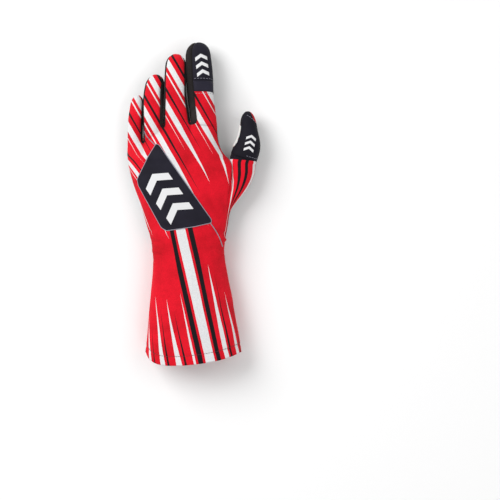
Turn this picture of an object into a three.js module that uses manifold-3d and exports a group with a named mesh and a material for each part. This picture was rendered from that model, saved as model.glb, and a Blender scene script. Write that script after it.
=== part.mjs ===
// A left-hand karting glove lying on its palm: a hollow five-fingered skin sewn from thin panels,
// with a long flared cuff, forked finger sidewalls, a raised back badge and raised grips on the palm.
// Millimetres. +Y runs from the cuff to the fingertips, +X to the thumb side, +Z up out of the back.
// The origin is at the middle of the glove's lowest plane.
import * as THREE from "three";
import Module from "manifold-3d";
import { mergeVertices } from "three/addons/utils/BufferGeometryUtils.js";

const wasm = await Module();
wasm.setup();

// Driving sizes
const CUFF_LENGTH = 118; // hem's side seams to the wrist
const PALM_LENGTH = 106; // wrist to the crotch between the index and middle fingers
const WEB_REACH = PALM_LENGTH * 0.6868; // wrist to the web of the thumb
const HEM_WIDTH = 87;
const WRIST_WIDTH = 66;
const HEM_DEPTH = 38;
const WRIST_DEPTH = 33;
const PALM_DEPTH = 33;
const HEM_DIP = 12.5; // how much longer the cuff is at its lowest point than at its side seams
const HEM_FOLD = 8.5; // turned-in hem
const WALL = 1.5; // thickness of the cloth and suede panels
const SEAM_GAP = 0.3;
const GRIP_THICK = 0.7;
const BADGE_THICK = 0.8;
const FOLD_THICK = 1;
const TIP_DOME = 12; // length of a finger's rounded end
const CROTCH_ROUND = 4.5; // radius of the U where two fingers part
const CROTCH_DEPTH = 3.5; // how far the sidewall's saddle stands out past its seams
const WEB_ROUND = 9; // radius of the web between the hand and the thumb
const INDEX_CAP = 36; // dark cap on the back of the index finger
const INDEX_BAND = 10; // band sewn below that cap
const THUMB_CAP = 42; // dark cap on the back of the thumb
const GATHER_LENGTH = 26; // elastic gathers on the underside of the wrist
const GATHER_DEPTH = 1.6;
const GATHERS = 7;
const BADGE_LENGTH = 88;
const BADGE_WIDTH = 38;

// Fingers from the little finger's side to the thumb's: pitch across the knuckles, half-widths and
// half-thickness in mm, length from the crotch of the index finger's level, and how far the finger's
// own crotches lie below that level.
const FINGERS = [
  { name: "little", pitch: 14.9, halfWidth: 6.8, halfThick: 8.3, length: 43.6, dropLeft: 20, dropRight: 16.5 },
  { name: "ring", pitch: 18.4, halfWidth: 9.4, halfThick: 9, length: 48.3, dropLeft: 16.5, dropRight: 2.2 },
  { name: "middle", pitch: 25.7, halfWidth: 10.1, halfThick: 9.6, length: 65, dropLeft: 2.2, dropRight: 0 },
  { name: "index", pitch: 25, halfWidth: 12.4, halfThick: 9.6, length: 76.4, dropLeft: 0, dropRight: 4 },
];
const THUMB = { halfWidth: 12.8, halfThick: 11.5, length: 45 };
const PALM_WIDTH = FINGERS.reduce((sum, finger) => sum + finger.pitch, 0);
const FLOOR = GRIP_THICK + SEAM_GAP; // the palm's lowest level, so that the grips stand on the ground

// The finger axes: share of the finger's length, sideways shift as a share of its length, and height
// of the axis above the floor as a share of PALM_DEPTH.
const FINGER_AXES = {
  little: [
    { along: 0, side: -0.01, lift: 0.36 },
    { along: 0.45, side: -0.004, lift: 0.46 },
    { along: 0.8, side: 0.025, lift: 0.37 },
    { along: 1, side: 0.05, lift: 0.24 },
  ],
  ring: [
    { along: 0, side: 0, lift: 0.46 },
    { along: 0.45, side: 0, lift: 0.62 },
    { along: 0.8, side: 0.015, lift: 0.46 },
    { along: 1, side: 0.06, lift: 0.27 },
  ],
  middle: [
    { along: 0, side: 0, lift: 0.53 },
    { along: 0.45, side: -0.025, lift: 0.66 },
    { along: 0.8, side: -0.02, lift: 0.5 },
    { along: 1, side: 0, lift: 0.31 },
  ],
  index: [
    { along: 0, side: 0, lift: 0.53 },
    { along: 0.45, side: -0.045, lift: 0.56 },
    { along: 0.8, side: -0.07, lift: 0.46 },
    { along: 1, side: -0.075, lift: 0.36 },
  ],
  thumb: [
    { along: 0, side: 0, lift: 0.45 },
    { along: 0.11, side: 0.036, lift: 0.47 },
    { along: 0.32, side: 0.104, lift: 0.48 },
    { along: 0.6, side: 0.119, lift: 0.46 },
    { along: 0.82, side: 0.109, lift: 0.41 },
    { along: 1, side: 0.088, lift: 0.34 },
  ],
};

// A finger's girth along its length, as shares of its half-width and half-thickness.
const GIRTH = [
  { along: 0, width: 1, thick: 1.02 },
  { along: 0.35, width: 0.99, thick: 0.99 },
  { along: 0.6, width: 1.01, thick: 1 },
  { along: 0.85, width: 0.95, thick: 0.94 },
  { along: 1, width: 0.88, thick: 0.86 },
];
const THUMB_GIRTH = [
  { along: 0, width: 1, thick: 1 },
  { along: 0.11, width: 1.03, thick: 0.97 },
  { along: 0.32, width: 0.96, thick: 0.87 },
  { along: 0.6, width: 0.7, thick: 0.74 },
  { along: 0.82, width: 0.57, thick: 0.64 },
  { along: 1, width: 0.5, thick: 0.56 },
];

// Where each back panel ends on its finger's rounded section, in degrees from the crown, on the
// finger's left and right, and the same for the palm panel from the pad.
const PANEL_EDGES = {
  little: { backLeft: 90, backRight: 56, palmLeft: 90, palmRight: 52 },
  ring: { backLeft: 66, backRight: 44, palmLeft: 52, palmRight: 52 },
  middle: { backLeft: 60, backRight: 62, palmLeft: 52, palmRight: 52 },
  index: { backLeft: 26, backRight: 90, palmLeft: 56, palmRight: 90 },
  thumb: { backLeft: 66, backRight: 90, palmLeft: 114, palmRight: 90 },
};

// The outline of the cuff and hand. Along counts cuff lengths up to the wrist and then palm lengths.
// The hand's width, from the outer seam to the thumb seam, mixes the hem's, wrist's and palm's
// widths; middle is its middle as a share of the palm's width; thumb is the thumb's share of width.
const OUTLINE = [
  { along: 0, hem: 1, wrist: 0, palm: 0, thumb: 0.22, middle: -0.03 },
  { along: 0.12, hem: 0.945, wrist: 0, palm: 0, thumb: 0.24, middle: -0.041 },
  { along: 0.25, hem: 0.77, wrist: 0.19, palm: 0, thumb: 0.2, middle: -0.038 },
  { along: 0.44, hem: 0.5, wrist: 0.48, palm: 0, thumb: 0.14, middle: -0.046 },
  { along: 0.55, hem: 0.33, wrist: 0.66, palm: 0, thumb: 0.12, middle: -0.045 },
  { along: 0.72, hem: 0.1, wrist: 0.9, palm: 0, thumb: 0.06, middle: -0.047 },
  { along: 0.88, hem: 0, wrist: 0.982, palm: 0, thumb: 0.05, middle: -0.064 },
  { along: 1, hem: 0, wrist: 1.033, palm: 0, thumb: 0.05, middle: -0.073 },
  { along: 1.123, hem: 0, wrist: 0.833, palm: 0.235, thumb: 0.05, middle: -0.083 },
  { along: 1.213, hem: 0, wrist: 0.685, palm: 0.399, thumb: 0.08, middle: -0.093 },
  { along: 1.32, hem: 0, wrist: 0.509, palm: 0.588, thumb: 0.23, middle: -0.11 },
  { along: 1.425, hem: 0, wrist: 0.339, palm: 0.78, thumb: 0.36, middle: -0.127 },
  { along: 1.528, hem: 0, wrist: 0.169, palm: 0.974, thumb: 0.49, middle: -0.137 },
  { along: 1.632, hem: 0, wrist: 0, palm: 1.145, thumb: 0.72, middle: -0.15 },
  { along: 1.687, hem: 0, wrist: 0, palm: 1.13, thumb: 0.96, middle: -0.166 },
  { along: 1.74, hem: 0, wrist: 0, palm: 1.083, thumb: 1, middle: -0.196 },
  { along: 1.792, hem: 0, wrist: 0, palm: 1.052, thumb: 1, middle: -0.214 },
  { along: 1.896, hem: 0, wrist: 0, palm: 1.02, thumb: 1, middle: -0.231 },
  { along: 2, hem: 0, wrist: 0, palm: 0.992, thumb: 1, middle: -0.238 },
];

// Heights of the side seams, crown and underside, as shares of the depth at the hem, wrist and palm.
const PROFILE = [
  { along: 0, hem: 1, wrist: 0, palm: 0, outer: 0.5, inner: 0.5, crown: 1, under: -0.02 },
  { along: 0.45, hem: 0.5, wrist: 0.5, palm: 0, outer: 0.5, inner: 0.5, crown: 1, under: -0.02 },
  { along: 0.9, hem: 0, wrist: 1, palm: 0, outer: 0.5, inner: 0.52, crown: 0.98, under: 0.08 },
  { along: 1.15, hem: 0, wrist: 0.5, palm: 0.5, outer: 0.44, inner: 0.5, crown: 1, under: 0.02 },
  { along: 1.45, hem: 0, wrist: 0, palm: 1, outer: 0.38, inner: 0.46, crown: 1.03, under: -0.04 },
  { along: 1.69, hem: 0, wrist: 0, palm: 1, outer: 0.36, inner: 0.47, crown: 1.03, under: 0 },
  { along: 2, hem: 0, wrist: 0, palm: 1, outer: 0.34, inner: 0.53, crown: 0.98, under: 0.08 },
];

// The curve of the hem across the cuff, as shares of HEM_DIP above its lowest point.
const HEM_LINE = [
  { along: 0, rise: 1 },
  { along: 0.05, rise: 0.46 },
  { along: 0.15, rise: 0.09 },
  { along: 0.32, rise: 0 },
  { along: 0.57, rise: 0.15 },
  { along: 0.79, rise: 0.44 },
  { along: 0.92, rise: 0.72 },
  { along: 1, rise: 0.97 },
];

// Grips printed on the palm, as corners: across from the outer seam to the thumb seam, and up from
// the wrist to the fingers.
const PALM_GRIPS = {
  knuckle_grip_outer: [[0.09, 0.58], [0.1, 0.7], [0.18, 0.76], [0.44, 0.8], [0.4, 0.71], [0.26, 0.62]],
  knuckle_grip_inner: [
    [0.5, 0.76], [0.56, 0.86], [0.66, 0.9], [0.9, 0.9], [0.96, 0.82], [0.93, 0.7], [0.8, 0.64], [0.7, 0.7], [0.58, 0.68],
  ],
  middle_grip: [
    [0.08, 0.44], [0.08, 0.52], [0.28, 0.58], [0.46, 0.7], [0.55, 0.64], [0.46, 0.56], [0.48, 0.46], [0.34, 0.4],
    [0.28, 0.5],
  ],
  thumb_mount_grip: [[0.6, 0.4], [0.58, 0.56], [0.7, 0.61], [0.88, 0.57], [0.97, 0.46], [0.9, 0.36], [0.74, 0.33]],
  heel_grip_outer: [[0.13, 0.18], [0.1, 0.36], [0.2, 0.39], [0.4, 0.34], [0.48, 0.26], [0.34, 0.15], [0.22, 0.13]],
  heel_grip_inner: [[0.44, 0.12], [0.56, 0.28], [0.7, 0.29], [0.84, 0.25], [0.74, 0.13], [0.6, 0.1]],
};

// Grips on a finger, as corners: across in half-widths, and along as shares of its length.
const FINGER_PAD = [[-0.6, 0.5], [-0.7, 0.84], [-0.42, 0.94], [0.4, 0.94], [0.7, 0.86], [0.66, 0.56], [0.2, 0.44]];
const FINGER_BARS = { first: 0.1, step: 4.1, count: 3, width: 2.3, reach: 0.62, slant: 0.8 };
const THUMB_PAD = [[-1.3, 0.2], [-1.3, 0.7], [-0.7, 0.86], [0.3, 0.86], [0.5, 0.62], [0.35, 0.24], [-0.2, 0.1]];
const THUMB_BARS = { first: -0.12, step: 4.1, count: 2, width: 2.3, reach: 0.34, slant: -1 };

// The badge's outline, across and along its own axes, as shares of its width and length.
const BADGE = [
  [0.34, 0.5], [0.5, 0.4], [0.5, -0.4], [0.34, -0.5], [0.1, -0.46], [-0.5, -0.22], [-0.5, 0.22], [0.1, 0.46],
];
const BADGE_TURN = 35; // degrees that its long axis leans
const BADGE_PLACE = { across: 0.35, up: 0.38 }; // shares of the palm from the outer seam and the wrist

// How finely the skin is faceted.
const FINGER_COLUMNS = 5;
const SIDE_COLUMNS = 4;
const CUFF_ROWS = 7; // the first of them is the hem
const THENAR_ROWS = 6;
const KNUCKLE_ROWS = 5;
const FINGER_ROWS = [0, 0.03, 0.08, 0.2, 0.36, 0.52, 0.67, 0.8, 0.89, 0.95, 0.985, 1];
const THUMB_ROWS = [0, 0.05, 0.12, 0.24, 0.4, 0.56, 0.7, 0.82, 0.91, 0.97, 1];

const radians = THREE.MathUtils.degToRad;
const lerp = THREE.MathUtils.lerp;
const clamp = THREE.MathUtils.clamp;
const smooth = (low, high, x) => THREE.MathUtils.smoothstep(x, low, high);

// Cubic interpolation of one column of a table, with the slope at each row taken from its neighbours.
function column(table, key, at) {
  const last = table.length - 1;
  const x = clamp(at, table[0].along, table[last].along);
  let k = 0;
  while (k < last - 1 && x > table[k + 1].along) k++;
  const slope = (i) => {
    const low = Math.max(i - 1, 0);
    const high = Math.min(i + 1, last);
    return (table[high][key] - table[low][key]) / (table[high].along - table[low].along);
  };
  const span = table[k + 1].along - table[k].along;
  const t = (x - table[k].along) / span;
  const rest = 1 - t;
  return (
    table[k][key] * (1 + 2 * t) * rest * rest +
    table[k + 1][key] * t * t * (3 - 2 * t) +
    slope(k) * span * t * rest * rest -
    slope(k + 1) * span * t * t * rest
  );
}

const CROTCH_LEVEL = CUFF_LENGTH + PALM_LENGTH;
const WEB_LEVEL = CUFF_LENGTH + WEB_REACH;
const groundAt = (y) => FLOOR * smooth(CUFF_LENGTH * 0.6, CUFF_LENGTH, y); // the skin's lowest level
const alongOf = (y) => (y < CUFF_LENGTH ? y / CUFF_LENGTH : 1 + (y - CUFF_LENGTH) / PALM_LENGTH);

// The outer seam, the thumb seam and the thumb's outer edge at height y up the glove.
function outlineAt(y) {
  const at = alongOf(y);
  const mix = (key) => column(OUTLINE, key, at);
  const width = mix("hem") * HEM_WIDTH + mix("wrist") * WRIST_WIDTH + mix("palm") * PALM_WIDTH;
  const middle = mix("middle") * PALM_WIDTH;
  const seam = middle + width / 2;
  return { outer: middle - width / 2, seam, edge: seam + mix("thumb") * 2 * THUMB.halfWidth };
}

// The heights of the side seams and the reach of the crown and underside from the seams' level.
function profileAt(y) {
  const at = alongOf(y);
  const mix = (key) => column(PROFILE, key, at);
  const depth = mix("hem") * HEM_DEPTH + mix("wrist") * WRIST_DEPTH + mix("palm") * PALM_DEPTH;
  return {
    outer: groundAt(y) + mix("outer") * depth,
    inner: groundAt(y) + mix("inner") * depth,
    crown: groundAt(y) + mix("crown") * depth,
    under: groundAt(y) + mix("under") * depth,
  };
}

// The X of each crotch line between two fingers, and of the outer sides, at the knuckles.
const knuckleOutline = outlineAt(CROTCH_LEVEL);
const ROOTS = FINGERS.reduce((edges, finger) => [...edges, edges[edges.length - 1] + finger.pitch], [
  knuckleOutline.outer,
]);

// One finger as a tube: its axis, its half sizes and its rounded section.
function makeTube(name, baseX, baseY, length, halfWidth, halfThick, girth, rootWidth = halfWidth) {
  const axis = FINGER_AXES[name];
  const centre = (t) =>
    new THREE.Vector3(
      baseX + column(axis, "side", t) * length,
      baseY + t * length,
      FLOOR + column(axis, "lift", t) * PALM_DEPTH,
    );
  const dome = TIP_DOME / length;
  const point = (degrees, t) => {
    const step = 0.01;
    const tangent = centre(Math.min(t + step, 1)).sub(centre(Math.max(t - step, 0))).normalize();
    const across = new THREE.Vector3(tangent.y, -tangent.x, 0).normalize();
    const up = new THREE.Vector3().crossVectors(across, tangent);
    const closing = clamp((t - (1 - dome)) / dome, 0, 1);
    const round = Math.pow(Math.max(1 - Math.pow(closing, 2.3), 0), 1 / 2.3);
    const sine = Math.sin(radians(degrees));
    const cosine = Math.cos(radians(degrees));
    const full = 2 / 2.25;
    const wide = lerp(rootWidth, halfWidth, smooth(0, 0.5, t));
    const x = Math.sign(sine) * Math.pow(Math.abs(sine), full) * wide * column(girth, "width", t);
    const z = Math.sign(cosine) * Math.pow(Math.abs(cosine), full) * halfThick * column(girth, "thick", t);
    const found = centre(t).addScaledVector(across, x * round).addScaledVector(up, z * round);
    found.z = Math.max(found.z, FLOOR);
    return found;
  };
  return { name, point, length };
}

// A sidewall's share from the back seam (0) to the palm seam (1), on the right or left of a finger.
const sideAngle = (edges, side, share) =>
  side > 0
    ? lerp(edges.backRight, 180 - edges.palmRight, share)
    : -lerp(edges.backLeft, 180 - edges.palmLeft, share);

const tubes = FINGERS.map((finger, i) => {
  const drop = Math.max(finger.dropLeft, finger.dropRight);
  const base = CROTCH_LEVEL - drop;
  const middle = (ROOTS[i] + ROOTS[i + 1]) / 2;
  const tube = makeTube(
    finger.name,
    middle,
    base,
    finger.length + drop - Math.min(finger.dropLeft, finger.dropRight),
    finger.halfWidth,
    finger.halfThick,
    GIRTH,
    Math.max(finger.pitch / 2 - SEAM_GAP, finger.halfWidth - 2 * SEAM_GAP),
  );
  const startOf = (share) => (drop - lerp(finger.dropLeft, finger.dropRight, share)) / tube.length;
  return { ...tube, startOf, edges: PANEL_EDGES[finger.name], left: i > 0, right: i < FINGERS.length - 1 };
});

// The saddle curve between fingers i and i + 1: from the back seam over the sidewall to the palm seam.
function crotchPoint(i, share) {
  const low = tubes[i].point(sideAngle(tubes[i].edges, 1, share), tubes[i].startOf(1));
  const high = tubes[i + 1].point(sideAngle(tubes[i + 1].edges, -1, share), tubes[i + 1].startOf(0));
  const found = low.add(high).multiplyScalar(0.5);
  found.x = ROOTS[i + 1];
  found.y += CROTCH_DEPTH * Math.sin(Math.PI * share);
  return found;
}

// How much of a crotch's pull is left at a distance above it, so that the gap opens as a round U.
function pull(distance) {
  const left = 1 - clamp(distance / CROTCH_ROUND, 0, 1);
  return 1 - Math.sqrt(1 - left * left);
}

// A point of finger i: panel is back, palm, left or right, share runs round the panel in the sense of
// increasing angle, and row is the share of the way from the crotch to the tip.
function fingerPoint(i, panel, share, row) {
  const tube = tubes[i];
  const { edges } = tube;
  const spread = panel === "back" ? share : panel === "palm" ? 1 - share : panel === "right" ? 1 : 0;
  const start = tube.startOf(spread);
  const t = lerp(start, 1, row);
  const degreesOf = (s) =>
    panel === "back"
      ? lerp(-edges.backLeft, edges.backRight, s)
      : panel === "palm"
        ? lerp(180 - edges.palmRight, 180 + edges.palmLeft, s)
        : panel === "right"
          ? sideAngle(edges, 1, s)
          : sideAngle(edges, -1, 1 - s);
  const degrees = degreesOf(share);
  const found = tube.point(degrees, t);
  const left = pull((t - start) * tube.length);
  if (left === 0) return found;
  const shift = new THREE.Vector3();
  const towards = (target, angle, at, weight) =>
    shift.addScaledVector(target.sub(tube.point(angle, tube.startOf(at))), weight);
  if (panel === "back" || panel === "palm") {
    const depth = panel === "back" ? 0 : 1;
    const leftAngle = panel === "back" ? degreesOf(0) : degreesOf(1);
    const rightAngle = panel === "back" ? degreesOf(1) : degreesOf(0);
    if (tube.left) towards(crotchPoint(i - 1, depth), leftAngle, 0, 1 - spread);
    if (tube.right) towards(crotchPoint(i, depth), rightAngle, 1, spread);
  } else if (panel === "right") towards(crotchPoint(i, share), degrees, 1, 1);
  else towards(crotchPoint(i - 1, 1 - share), degrees, 0, 1);
  return found.addScaledVector(shift, left);
}

// The thumb, from its base at the web to its tip.
const webOutline = outlineAt(WEB_LEVEL);
const thumbTube = makeTube(
  "thumb",
  (webOutline.seam + webOutline.edge) / 2,
  WEB_LEVEL,
  THUMB.length,
  (webOutline.edge - webOutline.seam) / 2,
  THUMB.halfThick,
  THUMB_GIRTH,
);
const webPoint = new THREE.Vector3(webOutline.seam, WEB_LEVEL, profileAt(WEB_LEVEL).inner);
const thumbEdges = PANEL_EDGES.thumb;
function thumbPoint(panel, share, row) {
  const turned = smooth(0, 0.45, row);
  const leftEdge = lerp(90, thumbEdges.backLeft, turned);
  const degrees =
    panel === "back" ? lerp(-leftEdge, thumbEdges.backRight, share) : lerp(thumbEdges.backRight, 360 - leftEdge, share);
  const found = thumbTube.point(degrees, row);
  const rest = 1 - clamp((row * THUMB.length) / WEB_ROUND, 0, 1);
  const left = 1 - Math.sqrt(1 - rest * rest);
  const spread = panel === "back" ? share : 1 - share;
  const shift = webPoint.clone().sub(thumbTube.point(-90, 0));
  return found.addScaledVector(shift, left * (1 - spread));
}

// Shares across the hand and across the thumb of each column, taken from the rows where they part.
const HAND_COLUMNS = FINGERS.length * FINGER_COLUMNS;
function partingPoint(panel, c) {
  if (c > HAND_COLUMNS) {
    const share = (c - HAND_COLUMNS) / FINGER_COLUMNS;
    return thumbPoint(panel, panel === "back" ? share : 1 - share, 0);
  }
  const i = Math.min(Math.floor(c / FINGER_COLUMNS), FINGERS.length - 1);
  const share = c / FINGER_COLUMNS - i;
  return fingerPoint(i, panel, panel === "back" ? share : 1 - share, 0);
}
const parting = { back: [], palm: [] };
for (const panel of ["back", "palm"])
  for (let c = 0; c <= HAND_COLUMNS + FINGER_COLUMNS; c++) parting[panel].push(partingPoint(panel, c));
const shareAcross = (panel, c) => {
  const row = parting[panel];
  const [from, to] = c <= HAND_COLUMNS ? [0, HAND_COLUMNS] : [HAND_COLUMNS, row.length - 1];
  return clamp((row[c].x - row[from].x) / (row[to].x - row[from].x), 0, 1);
};

// Where the hand's rows start and end in each column: the hem, the thumb's web and the fingers' crotches.
const hemLevel = (across) => HEM_DIP * column(HEM_LINE, "rise", across);
const webLevel = (panel, c) => (c <= HAND_COLUMNS ? WEB_LEVEL : parting[panel][c].y);
const crotchLevel = (panel, c) => parting[panel][c].y;

const lobe = (across, fullness) => Math.pow(Math.max(1 - Math.pow(Math.abs(2 * across - 1), fullness), 0), 1 / fullness);

// A point of the hand or cuff on column c at height y: across between the seams, and up or down by a
// rounded section that parts into two lobes, hand and thumb, towards the web.
function handPoint(panel, c, y) {
  const { outer, seam, edge } = outlineAt(y);
  const heights = profileAt(y);
  const share = shareAcross(panel, c);
  const x = c <= HAND_COLUMNS ? lerp(outer, seam, share) : lerp(seam, edge, share);
  const beyondWeb = y >= WEB_LEVEL;
  const reach = beyondWeb ? seam : edge;
  const across = clamp((x - outer) / (reach - outer), 0, 1);
  const seamHeight = lerp(heights.outer, heights.inner, across);
  const fullness = panel === "back" ? 2.3 : 3.2;
  const rise = panel === "back" ? heights.crown - seamHeight : seamHeight - heights.under;
  const whole = lobe(across, fullness);
  const parted = c <= HAND_COLUMNS ? lobe(share, fullness) : lobe(share, 2) * 0.62;
  const below = clamp((webLevel(panel, c) - y) / (WEB_REACH * 0.8), 0, 1);
  const joined = Math.pow(1 - Math.pow(1 - below, 2.4), 1 / 2.4);
  const bulge = beyondWeb && c <= HAND_COLUMNS ? parted : lerp(parted, whole, joined);
  let z = panel === "back" ? seamHeight + rise * bulge : seamHeight - rise * bulge;
  if (panel === "palm") {
    const wristward = (y - (CUFF_LENGTH - GATHER_LENGTH * 0.8)) / (GATHER_LENGTH / 2);
    const ripple = 0.5 + 0.5 * Math.cos(2 * Math.PI * GATHERS * across);
    z += GATHER_DEPTH * ripple * Math.exp(-wristward * wristward) * whole;
  }
  return new THREE.Vector3(x, y, Math.max(z, groundAt(y)));
}

// A hand point near the row where fingers or thumb part: it turns into that row moved back along Y.
function blendedPoint(panel, c, y, partLevel, reach) {
  const found = handPoint(panel, c, y);
  const end = parting[panel][c].clone();
  end.y = y;
  const near = smooth(0, 1, 1 - (partLevel - y) / reach);
  return found.lerp(end, near);
}

// The stitched skin: shared vertices, and faces that each belong to a named panel.
const vertices = [];
const lookup = new Map();
const faces = [];
function vertexAt(p) {
  const key = [p.x, p.y, p.z].map((v) => Math.round(v * 1e3)).join();
  if (!lookup.has(key)) {
    lookup.set(key, vertices.length);
    vertices.push(p);
  }
  return lookup.get(key);
}

// Adds a grid of columns and rows to the skin, columns in the sense of increasing angle.
function addGrid(columns, rows, pointOf, labelOf, hemRow = -1) {
  const ids = [];
  for (let r = 0; r <= rows; r++) {
    ids.push([]);
    for (let c = 0; c <= columns; c++) ids[r].push(vertexAt(pointOf(c, r)));
  }
  for (let r = 0; r < rows; r++)
    for (let c = 0; c < columns; c++) {
      const corners = [ids[r][c], ids[r][c + 1], ids[r + 1][c + 1], ids[r + 1][c]];
      const loop = corners.filter((v, k) => v !== corners[(k + 3) % 4]);
      if (loop.length > 2) faces.push({ loop, panel: labelOf(c, r), hem: r === hemRow });
    }
}

for (const panel of ["back", "palm"]) {
  const all = HAND_COLUMNS + FINGER_COLUMNS;
  const columnAt = (c, total) => (panel === "back" ? c : total - c);
  const low = CUFF_ROWS + THENAR_ROWS;
  const rowLevel = (c, r) => {
    const { outer, edge, seam } = outlineAt(0);
    const share = shareAcross(panel, c);
    const x = c <= HAND_COLUMNS ? lerp(outer, seam, share) : lerp(seam, edge, share);
    const hem = hemLevel((x - outer) / (edge - outer));
    if (r === 0) return hem;
    return r <= CUFF_ROWS
      ? lerp(hem + HEM_FOLD, CUFF_LENGTH, (r - 1) / (CUFF_ROWS - 1))
      : lerp(CUFF_LENGTH, webLevel(panel, c), (r - CUFF_ROWS) / THENAR_ROWS);
  };
  addGrid(
    all,
    low,
    (k, r) => {
      const c = columnAt(k, all);
      const y = rowLevel(c, r);
      if (c > HAND_COLUMNS && r > CUFF_ROWS) return blendedPoint(panel, c, y, webLevel(panel, c), WEB_REACH * 0.6);
      return handPoint(panel, c, y);
    },
    (k, r) => {
      const c = Math.min(columnAt(k, all), columnAt(k + 1, all));
      if (panel === "palm") return r < CUFF_ROWS ? "cuff_underside" : "palm_panel";
      if (r < CUFF_ROWS) return "cuff_top";
      return c >= HAND_COLUMNS ? "thumb_back" : "back_panel";
    },
    0,
  );
  addGrid(
    HAND_COLUMNS,
    KNUCKLE_ROWS,
    (k, r) => {
      const c = columnAt(k, HAND_COLUMNS);
      const top = crotchLevel(panel, c);
      const y = lerp(WEB_LEVEL, top, r / KNUCKLE_ROWS);
      const reach = Math.min(top - WEB_LEVEL, PALM_LENGTH * 0.3);
      return blendedPoint(panel, c, y, top, reach);
    },
    () => (panel === "back" ? "back_panel" : "palm_panel"),
  );
}

// The fingers: back and palm panels, and a forked sidewall between each pair.
tubes.forEach((tube, i) => {
  const last = i === tubes.length - 1;
  const capStart = 1 - INDEX_CAP / tube.length;
  const bandStart = capStart - INDEX_BAND / tube.length;
  const cuts = last ? [bandStart, capStart] : [];
  const far = (row) => cuts.every((cut) => Math.abs(cut - row) > 0.05);
  const levels = [...FINGER_ROWS.filter(far), ...cuts].sort((a, b) => a - b);
  const rowsOf = levels.length - 1;
  const sideEnd = levels.findIndex((row) => row > 0.86);
  const rowMiddle = (r) => (levels[r] + levels[r + 1]) / 2;
  const backLabel = (r) => {
    if (last && rowMiddle(r) > capStart) return "index_cap";
    return last && rowMiddle(r) > bandStart ? "index_band" : tube.name + "_back";
  };
  for (const panel of ["back", "palm"])
    addGrid(
      FINGER_COLUMNS,
      rowsOf,
      (c, r) => fingerPoint(i, panel, c / FINGER_COLUMNS, levels[r]),
      (c, r) => (panel === "back" ? backLabel(r) : "palm_panel"),
    );
  for (const side of ["left", "right"]) {
    if (!tube[side]) continue;
    const pair = side === "right" ? i : i - 1;
    const wall = "sidewall_" + tubes[pair].name + "_" + tubes[pair + 1].name;
    const upper = (c) => (side === "right" ? c < SIDE_COLUMNS / 2 : c >= SIDE_COLUMNS / 2);
    addGrid(
      SIDE_COLUMNS,
      rowsOf,
      (c, r) => fingerPoint(i, side, c / SIDE_COLUMNS, levels[r]),
      (c, r) => (r < sideEnd ? wall : upper(c) ? backLabel(r) : "palm_panel"),
    );
  }
});

// The thumb beyond its web.
const thumbRows = THUMB_ROWS.length - 1;
const thumbCapStart = 1 - THUMB_CAP / THUMB.length;
for (const panel of ["back", "palm"])
  addGrid(
    FINGER_COLUMNS,
    thumbRows,
    (c, r) => thumbPoint(panel, c / FINGER_COLUMNS, THUMB_ROWS[r]),
    (c, r) => {
      if (panel === "palm") return "palm_panel";
      return (THUMB_ROWS[r] + THUMB_ROWS[r + 1]) / 2 > thumbCapStart ? "thumb_cap" : "thumb_back";
    },
  );

// Outward normals of the whole skin, so that panels meet at a shared mitre.
const normals = vertices.map(() => new THREE.Vector3());
const centres = faces.map(({ loop }) =>
  loop.reduce((sum, v) => sum.add(vertices[v]), new THREE.Vector3()).divideScalar(loop.length),
);
for (const { loop } of faces)
  for (let k = 1; k + 1 < loop.length; k++) {
    const [a, b, c] = [loop[0], loop[k], loop[k + 1]];
    const ab = vertices[b].clone().sub(vertices[a]);
    const cross = ab.cross(vertices[c].clone().sub(vertices[a]));
    for (const v of [a, b, c]) normals[v].add(cross);
  }
normals.forEach((n) => n.normalize());

// A closed solid from the skin's faces that pass a test, between two distances along the normals, with
// its edges drawn in by half a seam gap.
function sheetSolid(belongs, outerAt, innerAt, drawIn = SEAM_GAP / 2) {
  const own = faces.map((face, k) => ({ ...face, centre: centres[k] })).filter(belongs);
  const edges = new Map();
  const index = new Map();
  for (const { loop, centre } of own)
    loop.forEach((v, k) => {
      const w = loop[(k + 1) % loop.length];
      if (edges.has(w + "," + v)) edges.delete(w + "," + v);
      else edges.set(v + "," + w, [v, w, centre]);
      if (!index.has(v)) index.set(v, index.size);
    });
  const inward = new Map();
  for (const [v, w, centre] of edges.values()) {
    const along = vertices[w].clone().sub(vertices[v]).normalize();
    for (const end of [v, w]) {
      const across = normals[end].clone().cross(along);
      if (across.length() < 0.7) {
        across.copy(centre).sub(vertices[end]);
        across.addScaledVector(along, -across.dot(along));
      }
      inward.set(end, [...(inward.get(end) ?? []), across.normalize()]);
    }
  }
  const count = index.size;
  const flat = [];
  for (const offset of [outerAt, innerAt])
    for (const v of index.keys()) {
      const p = vertices[v].clone();
      if (inward.has(v)) {
        const sum = inward.get(v).reduce((total, n) => total.add(n), new THREE.Vector3());
        const mitre = sum.lengthSq() / inward.get(v).length;
        p.addScaledVector(sum, drawIn / Math.max(mitre, 0.4));
      }
      p.addScaledVector(normals[v], offset);
      flat.push(p.x, p.y, p.z);
    }
  const triangles = [];
  for (const { loop } of own)
    for (let k = 1; k + 1 < loop.length; k++) {
      const [a, b, c] = [loop[0], loop[k], loop[k + 1]].map((v) => index.get(v));
      triangles.push(a, b, c, a + count, c + count, b + count);
    }
  for (const [v, w] of edges.values()) {
    const [a, b] = [index.get(v), index.get(w)];
    if (v < w) triangles.push(a, b + count, b, a, a + count, b + count);
    else triangles.push(a, a + count, b, b, a + count, b + count);
  }
  return new wasm.Manifold(
    new wasm.Mesh({ numProp: 3, vertProperties: new Float32Array(flat), triVerts: new Uint32Array(triangles) }),
  );
}

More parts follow.
